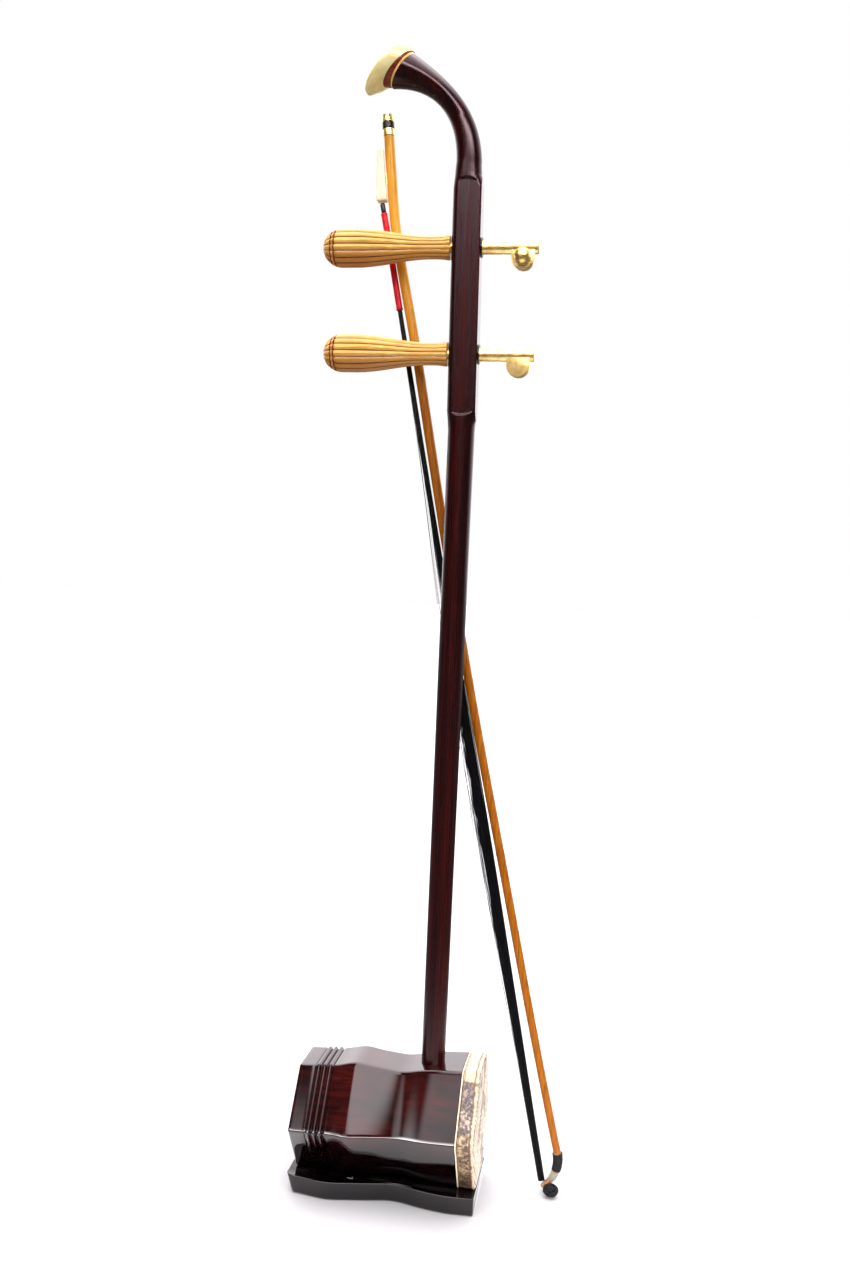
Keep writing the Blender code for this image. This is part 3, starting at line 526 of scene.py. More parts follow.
def snake_side():
    """The skin glued round the tube: fine scales, blue-black above and ochre below, with painted
    shade on its lowest part.
    """
    look = Look("snakeskin_side", roughness=0.5, coat=0.12, coat_roughness=0.3)
    x, _, z = look.axes()
    cells = look.add("TexVoronoi", {"Scale": 0.62, "Vector": look.place((1.0, 1.0, 1.15))}).node
    own = cells.outputs["Color"]
    patch = look.clouds(0.15, detail=4.0, roughness=0.6)
    tone = look.do("ADD", look.do("MULTIPLY", own, 0.34), look.do("MULTIPLY", patch, 0.72))
    high = look.ramp(tone, (0.36, (0.006, 0.007, 0.012)), (0.47, (0.035, 0.037, 0.055)),
                     (0.56, (0.13, 0.075, 0.042)), (0.67, (0.38, 0.31, 0.25)))
    low = look.ramp(tone, (0.38, (0.012, 0.007, 0.005)), (0.48, (0.10, 0.052, 0.020)),
                    (0.57, (0.24, 0.15, 0.065)), (0.68, (0.42, 0.32, 0.19)))
    body = look.blend(look.rise(look.do("ADD", z, look.do("MULTIPLY", patch, 12.0)), 66.0, 76.0),
                      low, high)
    # Painted shade: near-black on the skirt's lower part, fading out between about 20 and 52 mm up,
    # with a ragged edge.
    foot = look.rise(look.do("ADD", z, look.do("MULTIPLY", patch, 16.0)), 20.0, 52.0, 0.75, 0.0)
    body = look.blend(foot, body, (0.02, 0.012, 0.008))
    wave = look.do("MULTIPLY", look.do("SUBTRACT", patch, 0.5), 3.0)
    along = look.do("ADD", x, wave)
    up = look.do("ADD", z, wave)
    cream = look.ramp(own, (0.0, (0.42, 0.31, 0.18)), (1.0, (0.62, 0.52, 0.36)))
    border = look.do("MAXIMUM", look.rise(along, 35.2, 36.0), look.rise(up, 93.0, 94.5))
    body = look.blend(border, body, cream)
    lines = [look.rise(look.gap(place, line), near, far, strength, 0.0)
             for place, line, near, far, strength in (
                 (along, 34.6, 0.2, 0.9, 0.9), (along, 26.6, 0.2, 0.8, 0.6),
                 (up, 92.6, 0.3, 1.5, 0.8))]
    look.colour(look.blend(look.do("MAXIMUM", *lines), body, (0.10, 0.045, 0.018)))
    look.relief(look.do("MULTIPLY", cells.outputs["Distance"], -1.0), 0.3)
    return look.material


def cane():
    """Amber cane, paler at the top, with faint dark streaks along it."""
    look = Look("amber_cane", roughness=0.34, specular=0.15, coat=0.1, coat_roughness=0.12)
    streak = look.clouds(0.8, (1.0, 1.0, 0.02), distortion=0.3)
    amber = look.ramp(streak, (0.28, (0.20, 0.047, 0.001)), (0.5, (0.32, 0.090, 0.002)),
                      (0.72, (0.40, 0.135, 0.004)))
    pale = look.ramp(streak, (0.28, (0.64, 0.25, 0.012)), (0.5, (0.80, 0.36, 0.028)),
                     (0.72, (0.86, 0.44, 0.05)))
    wood = look.blend(look.rise(look.axes()[2], 560.0, 720.0), amber, pale)
    smoke = look.clouds(0.05, (1.0, 1.0, 0.3))
    look.colour(look.blend(look.rise(smoke, 0.56, 0.75, 0.0, 0.7), wood, (0.10, 0.025, 0.004)))
    look.relief(streak, 0.03)
    return look.material


ROSEWOOD = rosewood()
LACQUER = lacquer()
BLACK_LACQUER = black_lacquer()
CAP_BONE = bone("cap_bone", (0.84, 0.69, 0.26), (0.93, 0.83, 0.42))
FROG_BONE = bone("frog_bone", (0.88, 0.75, 0.50), (0.95, 0.88, 0.70))
BOXWOOD = boxwood()
BRASS = brass()
FACED_BRASS = faced_brass()
SNAKE_FRONT = snake_front()
SNAKE_SIDE = snake_side()
CANE = cane()
INNER_WOOD = two_tone("bare_tube_wood", 0.8, (0.045, 0.015, 0.009), (0.14, 0.05, 0.028), 0.15,
                      stretch=(0.05, 1.0, 1.0), detail=4.0, roughness=0.75)
DARK_INLAY = two_tone("dark_red_wood", 1.2, (0.075, 0.009, 0.0015), (0.27, 0.052, 0.006), 0.03,
                      stretch=(0.2, 1.0, 0.2), detail=4.0, roughness=0.4, specular=0.2,
                      coat=0.06, coat_roughness=0.1)
AMBER_INLAY = two_tone("amber_bone_ring", 0.5, (0.78, 0.40, 0.09), (0.93, 0.58, 0.19), 0.02,
                       stretch=(0.4, 1.0, 0.4), roughness=0.32, coat=0.2, coat_roughness=0.12)
COPPER_INLAY = two_tone("copper_brown_inlay", 1.0, (0.50, 0.20, 0.04), (0.72, 0.34, 0.08), 0.02,
                        stretch=(0.3, 1.0, 1.0), roughness=0.35, coat=0.2, coat_roughness=0.1)
STEEL = two_tone("steel", 2.0, (0.42, 0.42, 0.43), (0.62, 0.62, 0.63), rubbed=(0.28, 0.45),
                 roughness=0.35, metallic=1.0)
HIDE_EDGE = two_tone("hide_edge", 0.9, (0.62, 0.47, 0.28), (0.86, 0.76, 0.58), 0.15, detail=4.0,
                     span=(0.3, 0.65), roughness=0.7)
TIP_WOOD = two_tone("bent_tip_wood", 1.2, (0.20, 0.09, 0.035), (0.40, 0.22, 0.10), 0.06,
                    stretch=(0.3, 1.0, 0.3), span=(0.3, 0.65), roughness=0.45, coat=0.2,
                    coat_roughness=0.2)
BLACK_PLASTIC = two_tone("black_plastic", 1.5, (0.003, 0.003, 0.004), (0.010, 0.009, 0.010), 0.03,
                         rubbed=(0.32, 0.5), roughness=0.4, specular=0.3)
HORSE_HAIR = two_tone("black_hair", 1.2, (0.0015, 0.0015, 0.002), (0.007, 0.007, 0.009),
                      stretch=(1.0, 1.0, 0.02), detail=2.0, span=(0.35, 0.7),
                      rubbed=(0.45, 0.3), roughness=0.38, specular=0.15)
BLACK_THREAD = two_tone("black_thread", 2.0, (0.002, 0.0015, 0.002), (0.009, 0.007, 0.008), 0.1,
                        detail=2.0, roughness=0.55, specular=0.2)
RED_SLEEVE = two_tone("red_sleeve", 0.35, (0.36, 0.001, 0.006), (0.80, 0.006, 0.018), 0.3,
                      stretch=(1.0, 1.0, 0.25), span=(0.3, 0.65), roughness=0.4, specular=0.2,
                      coat=0.08, coat_roughness=0.2)
PALE_THREAD = two_tone("pale_thread", 1.8, (0.16, 0.15, 0.12), (0.42, 0.39, 0.32), 0.15,
                       span=(0.3, 0.65), roughness=0.8)


# ---------------------------------------------------------------- resonator

class Hexagon:
    """A hexagon with a flat top and bottom, about its own centre."""

    def __init__(self, half_height, half_top, half_middle):
        self.half_height = half_height
        self.half_top = half_top
        self.half_middle = half_middle

    def blended(self, other, share):
        return Hexagon(mix(self.half_height, other.half_height, share),
                       mix(self.half_top, other.half_top, share),
                       mix(self.half_middle, other.half_middle, share))

    def carved(self, relief, pinch):
        return Hexagon(self.half_height + relief, self.half_top - pinch, self.half_middle + relief)

    def grown(self, distance):
        """Every side moved outward by the same distance."""
        slope = self.half_middle - self.half_top
        side = math.hypot(slope, self.half_height)
        middle = self.half_middle + distance * side / self.half_height
        height = self.half_height + distance
        top = self.half_height * self.half_middle + distance * side - slope * height
        return Hexagon(height, top / self.half_height, middle)

    def ring(self, x, centre, radius, corner_steps=5, side_steps=4):
        """Points round the hexagon with rounded corners, as (x, y, z)."""
        top, middle, height = self.half_top, self.half_middle, self.half_height
        corners = [Vector(corner) for corner in (
            (-top, height), (-middle, 0.0), (-top, -height), (top, -height), (middle, 0.0),
            (top, height))]
        arcs = []
        for index, corner in enumerate(corners):
            arriving = (corner - corners[index - 1]).normalized()
            leaving = (corners[(index + 1) % 6] - corner).normalized()
            turn = arriving.angle(leaving)
            start = corner - arriving * radius * math.tan(turn / 2.0)
            pivot = start + Vector((-arriving.y, arriving.x)) * radius
            arcs.append([pivot + Matrix.Rotation(angle, 2) @ (start - pivot)
                         for angle in evenly(0.0, turn, corner_steps)])
        points = []
        for index, arc in enumerate(arcs):
            following = arcs[(index + 1) % 6][0]
            points += arc + [arc[-1].lerp(following, share)
                             for share in evenly(0.04, 0.96, side_steps)]
        return [(x, point.x, centre + point.y) for point in points]


FACE = Hexagon(43.4, 19.4, 47.6)
BACK = Hexagon(38.5, 17.6, 45.2)


def plain_tube(x):
    return BACK.blended(FACE, (x - TUBE_BACK) / (SKIN_FRONT - TUBE_BACK))


def tube_centre(x):
    return TUBE_SEAT + plain_tube(x).half_height


def carved_relief(x):
    """How far the carved outside stands out from the plain taper: rim, three beads, hill, waist."""
    if x <= RIM_END:
        return 0.0
    if x < BEADS_END:
        bead = (x - RIM_END) / (BEADS_END - RIM_END) * BEAD_COUNT
        return -1.2 + 2.2 * abs(math.sin(math.pi * bead))
    return 2.6 * bump(x, -54.0, 11.0) - 2.6 * bump(x, -19.0, 14.0)


def stave_outside(x, shrink):
    if x > BAND_BACK - 0.3:
        return plain_tube(x).grown(-SKIN_THICKNESS - 0.3)
    carved = plain_tube(x).carved(carved_relief(x), WAIST_PINCH * bump(x, -37.0, 33.0))
    return carved.grown(-SKIN_STEP - shrink)


def make_tube():
    """The six staves as their polished outside, and the bare wood inside."""
    softened = [(TUBE_BACK, 1.4), (TUBE_BACK + 0.15, 0.8), (TUBE_BACK + 0.5, 0.3),
                (TUBE_BACK + 1.1, 0.05)]
    rim = evenly(TUBE_BACK + 2.0, RIM_END - 0.9, 5)
    rim_edge = [(RIM_END - 0.45, 0.08), (RIM_END - 0.12, 0.45)]
    beads = evenly(RIM_END, BEADS_END, BEAD_COUNT * 10)[1:-1]
    shoulder = [(BEADS_END + 0.05, 1.3), (BEADS_END + 0.5, 0.5), (BEADS_END + 1.1, 0.12)]
    body = evenly(BEADS_END + 1.8, BAND_BACK - 0.35, 70) + [BAND_BACK - 0.2, TUBE_FRONT]
    stations = softened + [(x, 0.0) for x in rim] + rim_edge
    stations += [(x, 0.0) for x in beads] + shoulder + [(x, 0.0) for x in body]
    rings = [stave_outside(x, shrink).ring(x, tube_centre(x), TUBE_CORNER)
             for x, shrink in stations]
    first_inner = (len(rings) - 1) * len(rings[0])
    for x in (TUBE_FRONT, 0.0, -50.0, TUBE_BACK + 0.4, TUBE_BACK):
        wall = TUBE_WALL if x > TUBE_BACK else TUBE_WALL - 0.5
        rings.append(plain_tube(x).grown(-wall).ring(x, tube_centre(x), 1.2))
    tube = loft("tube_shell", rings, loop=True)
    join_frame(tube, "instrument", [LACQUER, INNER_WOOD], "lacquer", "stave_right_upper",
               "stave_right_lower", "stave_bottom", "stave_left_lower", "stave_left_upper",
               "stave_top")
    for face in tube.data.polygons:
        face.material_index = int(min(face.vertices) >= first_inner)


def scale_height(across, up):
    """Relief of diamond scales, 0 in the gaps and 1 on the crowns, tipped toward their lower ends."""
    first = (across / SCALE_WIDTH + up / SCALE_LENGTH) % 1.0
    second = (across / SCALE_WIDTH - up / SCALE_LENGTH) % 1.0
    crown = (1.0 - abs(first * 2.0 - 1.0) ** 3) * (1.0 - abs(second * 2.0 - 1.0) ** 3)
    return crown * (0.8 + 0.2 * (second - first))


def make_skin():
    """The membrane with its scales in relief and the skirt glued round the tube."""
    def ring(x, shrink):
        return plain_tube(x).grown(-shrink).ring(x, tube_centre(x), 3.0, corner_steps=8,
                                                 side_steps=54)

    def roughened(points, depth):
        """Sink each point of a skirt ring a little, by small scales."""
        made = []
        for x, y, z in points:
            outward = Vector((0.0, y, z - tube_centre(x))).normalized()
            low = 0.5 + 0.5 * wobble(3, x * 0.55, y * 0.55, z * 0.55)
            made.append(Vector((x, y, z)) - outward * depth * low)
        return made

    rings = [roughened(ring(x, 0.05), 0.28)
             for x in evenly(SKIN_BACK, SKIN_FRONT - SKIN_ROLL, 18)]
    for turn in (18, 36, 54, 72):
        bend = math.radians(turn)
        x = SKIN_FRONT - SKIN_ROLL + (SKIN_ROLL - 0.35) * math.sin(bend)
        rings.append(ring(x, 0.05 + SKIN_ROLL * (1.0 - math.cos(bend))))
    edge = ring(SKIN_FRONT, SKIN_ROLL)
    centre = tube_centre(SKIN_FRONT)
    for share in evenly(1.0, 0.0, 74)[:-1]:
        loop = []
        for _, edge_y, edge_z in edge:
            y = edge_y * share
            z = centre + (edge_z - centre) * share
            height = (scale_height(y, z) - 0.4) * smooth(0.0, 0.06, 1.0 - share)
            loop.append((SKIN_FRONT - 0.35 + SKIN_RELIEF * height, y, z))
        rings.append(loop)
    skin = loft("skin_drumhead", rings[::-1], caps=(True, False))
    join_frame(skin, "instrument", [SNAKE_FRONT, SNAKE_SIDE], "snakeskin", "snakeskin")
    thickness = skin.modifiers.new("thickness", "SOLIDIFY")
    thickness.thickness = 0.9 * MM
    thickness.offset = -1.0
    for face in skin.data.polygons:
        face.material_index = int(face.normal.x <= 0.6)


def make_edge_band():
    """The hide's trimmed edge, a narrow uneven cord round the tube."""
    rings = []
    for along, out in circle(8):
        x = mix(BAND_BACK, BAND_FRONT, 0.5 + 0.49 * along)
        outline = plain_tube(x).grown(-0.45 + 0.55 * out)
        rings.append([(x + 0.10 * wobble(5, y * 0.3, z * 0.3), y, z)
                      for _, y, z in outline.ring(x, tube_centre(x), 2.6, side_steps=30)])
    band = loft("hide_edge_cord", rings, loop=True, angle=180.0)
    join_frame(band, "instrument", [HIDE_EDGE], "hide_edge", "skin_edge_band")


def make_sound_window():
    """A carved panel with seven ringed holes in the tube's open back."""
    x = TUBE_BACK + 3.5
    centre = tube_centre(x)
    holes = [(0.0, 0.0)] + [(HOLE_CIRCLE * across, HOLE_CIRCLE * up) for across, up in circle(6)]
    outline = plain_tube(x).grown(-TUBE_WALL - 0.7).ring(x, centre, 1.0)
    lines = [([(y, z - centre, 0.0) for _, y, z in outline], 1.0)]
    for across, up in holes:
        lines.append(([(across + HOLE_RADIUS * right, up - HOLE_RADIUS * down, 0.0)
                       for right, down in circle(36)], 1.0))
    panel = curve_object("window_panel", "2D", WINDOW_EDGE, 2, lines, closed=True)
    panel.data.fill_mode = "BOTH"
    panel.data.extrude = (WINDOW_THICKNESS * 0.5 - WINDOW_EDGE) * MM
    middle = x + WINDOW_THICKNESS * 0.5
    panel.matrix_world = Matrix(((0.0, 0.0, 1.0, middle * MM), (1.0, 0.0, 0.0, 0.0),
                                 (0.0, 1.0, 0.0, centre * MM), (0.0, 0.0, 0.0, 1.0)))
    join_frame(panel, "instrument", [ROSEWOOD], "rosewood", "sound_window")
    profile = [(HOLE_RADIUS + HOLE_BEAD * (1.0 + out), HOLE_BEAD * along)
               for out, along in circle(12)]
    for index, (across, up) in enumerate(holes):
        ring = turned("window_ring_%d" % index, profile, (x - 0.1, across, centre + up),
                      (1.0, 0.0, 0.0), loop=True)
        join_frame(ring, "instrument", [ROSEWOOD], "rosewood")


# ---------------------------------------------------------------- base

def base_half_width(x):
    wave = 4.0 * bump(x, -70.0, 16.0) - 5.5 * bump(x, -22.0, 18.0) + 1.5 * bump(x, 20.0, 15.0)
    return BASE_HALF_WIDTH + wave


def base_seat(x):
    """Height of the base's flat top, which follows the tube's underside."""
    if x > BAND_BACK - 1.0:
        return TUBE_SEAT - 0.5
    if x < RIM_END - 0.5:
        return TUBE_SEAT - 0.3
    bead_height = 1.1 if x < BEADS_END + 0.8 else 0.0
    return TUBE_SEAT - max(carved_relief(x), bead_height) - 0.3


def base_section(x):
    """One section: flat sole, rounded edges and a hollowed shelf up to the tube."""
    from_back = x - BASE_BACK
    inset = 5.0 * math.exp(-(from_back - 1.2) / 1.15)
    inset += 1.2 * (1.0 - math.sqrt(1.0 - smooth(BASE_FRONT - 1.2, BASE_FRONT, x) ** 2))
    lean = 4.0 * (1.0 - smooth(2.0, 13.5, from_back))
    half = base_half_width(x) - inset
    tube_edge = plain_tube(x).half_top + 1.0
    ledge = half - BASE_SHOULDER
    profile = [(half - BASE_FOOT - 1.0, 0.0)]
    for bend in evenly(0.0, math.pi / 2.0, 5):
        profile.append((half - BASE_FOOT * (1.0 - math.sin(bend)),
                        BASE_FOOT * 1.4 * (1.0 - math.cos(bend))))
    profile += [(half, 5.0), (half, 8.0), (half, BASE_SIDE_TOP - BASE_SHOULDER)]
    for bend in evenly(0.0, math.pi / 2.0, 5)[1:]:
        profile.append((ledge + BASE_SHOULDER * math.cos(bend),
                        BASE_SIDE_TOP - BASE_SHOULDER * (1.0 - math.sin(bend))))
    for share in evenly(0.0, 1.0, 7)[1:]:
        dip = 0.45 * math.sin(math.pi * share)
        profile.append((mix(ledge, tube_edge, share),
                        mix(BASE_SIDE_TOP, base_seat(x), share ** 2) - dip))
    right = [(x - lean * z / TUBE_SEAT, -y, z) for y, z in profile]
    return right + [(x, -y, z) for x, y, z in reversed(right)]


def make_base():
    back = [BASE_BACK + step for step in (1.2, 1.4, 1.7, 2.1, 2.7, 3.5, 4.5, 6.0, 8.0, 10.0, 12.0)]
    body = evenly(RIM_END, BASE_FRONT - 1.4, 90)
    front = [BASE_FRONT - step for step in (1.0, 0.7, 0.4, 0.2, 0.05, 0.0)]
    base = loft("base_block", [base_section(x) for x in back + body + front], angle=50.0)
    join_frame(base, "instrument", [BLACK_LACQUER], "black_lacquer", "base")


# ---------------------------------------------------------------- neck and head

def oval(inner, outer, half_depth, squareness=2.0):
    """A ring between an inner and an outer point of the neck's profile in XZ."""
    middle = (Vector(inner) + Vector(outer)) * 0.5
    half = (Vector(outer) - Vector(inner)) * 0.5
    power = 2.0 / squareness
    ring = []
    for across, depth in circle(NECK_SIDES, 0.5):
        place = middle + half * math.copysign(abs(across) ** power, across)
        ring.append(Vector((place.x, half_depth * math.copysign(abs(depth) ** power, depth),
                            place.y)))
    return ring


def neck_centre(z):
    return -max(z - NECK_STRAIGHT_TOP, 0.0) * math.tan(NECK_LEAN)


def bezier(points, share):
    first, second, third, fourth = (Vector(point) for point in points)
    rest = 1.0 - share
    return (first * rest ** 3 + second * 3 * rest ** 2 * share
            + third * 3 * rest * share ** 2 + fourth * share ** 3)


HEAD_FRONT = ((6.5, 750.0), (5.0, 785.0), (-15.0, 806.0), (-44.7, 826.9))
HEAD_BACK = ((-12.4, 750.0), (-12.0, 785.0), (-33.5, 805.6), (-61.4, 804.7))
# Height, reach behind and before the centre, half depth and squareness of the neck's sections.
NECK_SHAPE = [(560.0, 9.75, 9.75, 9.75, 2.0), (566.0, 10.1, 10.2, 9.8, 2.15),
              (574.0, 10.8, 13.3, 9.7, 2.7), (655.0, 10.9, 13.5, 9.6, 2.8),
              (732.0, 10.6, 13.2, 9.5, 2.7), (741.0, 9.9, 10.0, 9.6, 2.2),
              (750.0, 9.45, 9.45, 9.6, 2.0)]


def neck_ring(z):
    """One section of the upright neck."""
    centre = neck_centre(z)
    if z <= NECK_STRAIGHT_TOP:
        radius = mix(8.65, 9.75, max((z - 107.0) / 453.0, 0.0) ** 1.4)
        return oval((centre - radius, z), (centre + radius, z), radius)
    low, high = next(pair for pair in zip(NECK_SHAPE, NECK_SHAPE[1:]) if z <= pair[1][0])
    share = (z - low[0]) / (high[0] - low[0])
    back, front, depth, square = (mix(low[part], high[part], share) for part in (1, 2, 3, 4))
    return flattened(oval((centre - back, z), (centre + front, z), depth, square))


def soft_limit(value, limit, soft=0.25):
    """The lesser of a value and its limit, rounded where they meet."""
    gap = max(soft - abs(value - limit), 0.0)
    return min(value, limit) - gap * gap / (4.0 * soft)


def flattened(ring):
    """Plane the sides of the peg section, between its two arched ends, and its front."""
    middle = (PEG_SECTION_LOW + PEG_SECTION_HIGH) * 0.5
    straight = (PEG_SECTION_HIGH - PEG_SECTION_LOW) * 0.5 - ARCH_RISE
    made = []
    for point in ring:
        centre = neck_centre(point.z)
        across = (point.x - centre) / ARCH_HALF_WIDTH
        beyond = max(abs(point.z - middle) - straight, 0.0) / ARCH_RISE
        outside = max(math.hypot(across, beyond) - 1.0, 0.0) * ARCH_RISE
        depth = soft_limit(abs(point.y), PEG_FLAT_HALF + 1.5 * outside)
        x = soft_limit(point.x, centre + PEG_FRONT_FLAT)
        made.append(Vector((x, math.copysign(depth, point.y), point.z)))
    return made


def head_ring(share):
    return oval(bezier(HEAD_BACK, share), bezier(HEAD_FRONT, share),
                mix(9.6, 13.6, max(share - 0.35, 0.0) / 0.65))


def make_neck():
    heights = [NECK_BOTTOM, NECK_BOTTOM + 0.4] + evenly(10.0, 550.0, 27) + [560.0, 563.0]
    heights += evenly(566.0, 584.0, 36) + evenly(590.0, 718.0, 10) + evenly(722.0, 742.0, 40)
    rings = [neck_ring(z) for z in heights + [744.0, 746.0, 748.0]]
    rings += [head_ring(share) for share in evenly(0.0, 1.0, 60)]
    join_frame(loft("neck_wood", rings, angle=60.0), "instrument", [ROSEWOOD], "rosewood", "neck")


def make_head():
    """Two inlaid rings and the flared bone cap, with softened edges."""
    neck_back = Vector(HEAD_BACK[3])
    neck_front = Vector(HEAD_FRONT[3])
    outward = Vector((-0.74, 0.67))
    ring_back = Vector((-68.0, 806.2))
    ring_front = Vector((-45.8, 828.9))

    def section(back, front, shift, half_depth, shrink=0.0):
        """A ring moved outward along the head, drawn in all round by a distance."""
        pull = (front - back).normalized() * shrink
        return oval(back + outward * shift + pull, front + outward * shift - pull,
                    half_depth - shrink)

    cream = [section(neck_back, neck_front, shift, half_depth, shrink)
             for shift, half_depth, shrink in ((0.05, 13.7, 0.15), (0.25, 13.75, 0.0),
                                               (1.35, 14.0, 0.0), (1.55, 14.0, 0.15))]
    join_frame(loft("head_ring_cream", cream), "instrument", [AMBER_INLAY], "bone",
               "head_inlay_cream")
    start_back = neck_back + outward * 1.6
    start_front = neck_front + outward * 1.6
    dark = [section(start_back, start_front, 0.0, 14.1, 0.15),
            section(start_back, start_front, 0.2, 14.15)]
    for share in (0.3, 0.6, 0.9):
        dark.append(oval(start_back.lerp(ring_back, share), start_front.lerp(ring_front, share),
                         mix(14.2, 15.0, share)))
    dark.append(section(ring_back, ring_front, 0.0, 15.0, 0.1))
    join_frame(loft("head_ring_dark", dark), "instrument", [DARK_INLAY], "dark_inlay",
               "head_inlay_dark")
    stages = [(ring_back, ring_front, 15.2),
              (Vector((-73.6, 803.0)), Vector((-47.6, 832.8)), 16.6),
              (Vector((-79.8, 800.9)), Vector((-49.2, 834.9)), 17.7)]
    cap = [section(ring_back, ring_front, 0.05, 15.2, 0.2)]
    for low, high in zip(stages, stages[1:]):
        for share in evenly(0.0, 1.0, 8)[:-1]:
            cap.append(oval(low[0].lerp(high[0], share), low[1].lerp(high[1], share),
                            mix(low[2], high[2], share)))
    cap.append(oval(*stages[2]))
    rim_back = Vector((-80.6, 801.6))
    rim_front = Vector((-50.2, 835.4))
    rim_middle = (rim_back + rim_front) * 0.5
    for turn in (0, 6, 12, 20, 30, 40, 50, 60, 70, 79, 87):
        reach = math.cos(math.radians(turn))
        rise = outward * CAP_DOME * math.sin(math.radians(turn))
        cap.append(oval(rim_middle.lerp(rim_back, reach) + rise,
                        rim_middle.lerp(rim_front, reach) + rise, 18.0 * reach))
    join_frame(loft("head_cap_bone", cap, angle=60.0), "instrument", [CAP_BONE], "bone",
               "head_cap")


# ---------------------------------------------------------------- tuning pegs

def handle_radius(along):
    """Radius of a full-length peg handle at a distance from its neck end."""
    if along > HANDLE_DOME_START:
        return HANDLE_RADIUS * math.sqrt(1.0 - ((along - HANDLE_DOME_START) / HANDLE_DOME) ** 2)
    swell = min(max((along - 14.0) / 56.0, 0.0), 1.0)
    radius = mix(HANDLE_NECK_RADIUS, HANDLE_RADIUS, 0.5 - 0.5 * math.cos(math.pi * swell))
    return radius + 0.8 * math.exp(-(along / 5.0) ** 2)


def reeded_ring(x, radius, height, depth=REED_DEPTH):
    """A ring of convex reeds about the peg's axis."""
    ring = []
    for step, (across, up) in enumerate(circle(REEDS * POINTS_PER_REED)):
        phase = (step % POINTS_PER_REED) / POINTS_PER_REED
        reach = radius * (1.0 - depth * (1.0 - math.sin(math.pi * phase)))
        ring.append((x, reach * across, height + reach * up))
    return ring


def make_peg(prefix):
    """One peg: reeded boxwood handle, its inlaid rings and butt, and the brass shaft."""
    body = prefix + "_peg"
    height = JOINTS[prefix + "_peg_turn"]["pos_m"][2] / MM
    start = neck_centre(height) - 11.4
    butt_end = extent(prefix + "_butt", 0)[0]
    stretch = (start - butt_end) / HANDLE_LENGTH
    axis = (0.0, 0.0, height)

    def ring(along, shrink=0.0):
        return reeded_ring(start - along * stretch, handle_radius(along) - shrink, height)

    handle = [ring(0.0, 2.0), ring(0.05, 0.6), ring(0.4, 0.15)]
    handle += [ring(along) for along in evenly(1.0, 83.4, 60)] + [ring(83.7, 0.25)]
    parts = [("handle_reeds", handle, BOXWOOD, "handle", "boxwood")]
    for part, near, far, look, slot in (
            ("inner", 83.75, 84.75, DARK_INLAY, "dark_inlay"),
            ("copper", 84.8, 86.45, COPPER_INLAY, "copper_inlay"),
            ("outer", 86.5, 87.5, DARK_INLAY, "dark_inlay")):
        rings = [ring(near, 0.2), ring(near + 0.15), ring((near + far) / 2), ring(far - 0.15),
                 ring(far, 0.2)]
        parts.append(("ring_" + part, rings, look, "inlay_" + part, slot))
    butt = [ring(87.55, 0.25), ring(87.8)] + [ring(along) for along in evenly(88.2, 93.8, 14)]
    butt.append(reeded_ring(butt_end, 1.2, height, 0.0))
    parts.append(("butt_reeds", butt, BOXWOOD, "butt", "boxwood"))
    for part, rings, look, node, slot in parts:
        join_frame(loft(prefix + "_" + part, rings, axis, angle=34.0), body, [look], slot,
                   prefix + "_" + node)
    make_shaft(prefix, body, height, start)


def make_shaft(prefix, body, height, handle_start):
    """The brass rod, with a groove near its middle, and the drop-shaped lug at its end."""
    end = extent(prefix + "_shaft", 0)[1]
    profile = [(3.3, handle_start - 20.0), (3.3, handle_start + 0.8),
               (SHAFT_RADIUS, handle_start + 1.0), (SHAFT_RADIUS, 10.0), (SHAFT_RADIUS, 24.0),
               (SHAFT_RADIUS - 0.25, 24.2), (SHAFT_RADIUS - 0.25, 24.9), (SHAFT_RADIUS, 25.1),
               (SHAFT_RADIUS, end - 1.6), (SHAFT_RADIUS - 0.3, end - 0.6),
               (SHAFT_RADIUS - 0.9, end - 0.05), (0.6, end)]
    rod = turned(prefix + "_shaft_rod", profile, (0.0, 0.0, height), (1.0, 0.0, 0.0))
    join_frame(rod, body, [BRASS], "brass", prefix + "_shaft")
    lug_height = height - LUG_DROP
    outline = [Vector((LUG_CENTRE + side * LUG_RADIUS, height + 1.5)) for side in (1.0, -1.0)]
    outline += [Vector((LUG_CENTRE - LUG_RADIUS * math.cos(turn),
                        lug_height - LUG_RADIUS * math.sin(turn)))
                for turn in evenly(0.0, math.pi, 30)]
    centre = Vector((LUG_CENTRE, lug_height + 2.0))
    rings = []
    for inset, shrink in ((0.0, 0.5), (0.15, 0.2), (0.5, 0.0)):
        outer = [place + (centre - place).normalized() * shrink for place in outline]
        rings.append([(place.x, inset - LUG_HALF_THICKNESS, place.y) for place in outer])
    rings += [[(x, -depth, z) for x, depth, z in ring] for ring in reversed(rings)]
    lug = loft(prefix + "_lug_plate", rings, (LUG_CENTRE, 0.0, lug_height), angle=30.0)
    join_frame(lug, body, [FACED_BRASS], "brass")


def make_knob(prefix):
    """The domed knob on a peg's lug."""
    joint = JOINTS[prefix + "_knob_turn"]
    place = [part / MM for part in joint["pos_m"]]
    profile = [(1.9, -5.0), (1.9, 0.2), (KNOB_RADIUS - 0.3, 0.35), (KNOB_RADIUS, 0.7),
               (KNOB_RADIUS, 3.0)]
    for turn in range(10, 90, 10):
        bend = math.radians(turn)
        profile.append((KNOB_RADIUS * math.cos(bend) ** 0.8, 3.0 + 5.1 * math.sin(bend)))
    profile.append((0.3, 8.15))
    knob = turned(prefix + "_knob_dome", profile, place, joint["axis"])
    join_frame(knob, prefix + "_peg_knob", [BRASS], "brass", prefix + "_knob")


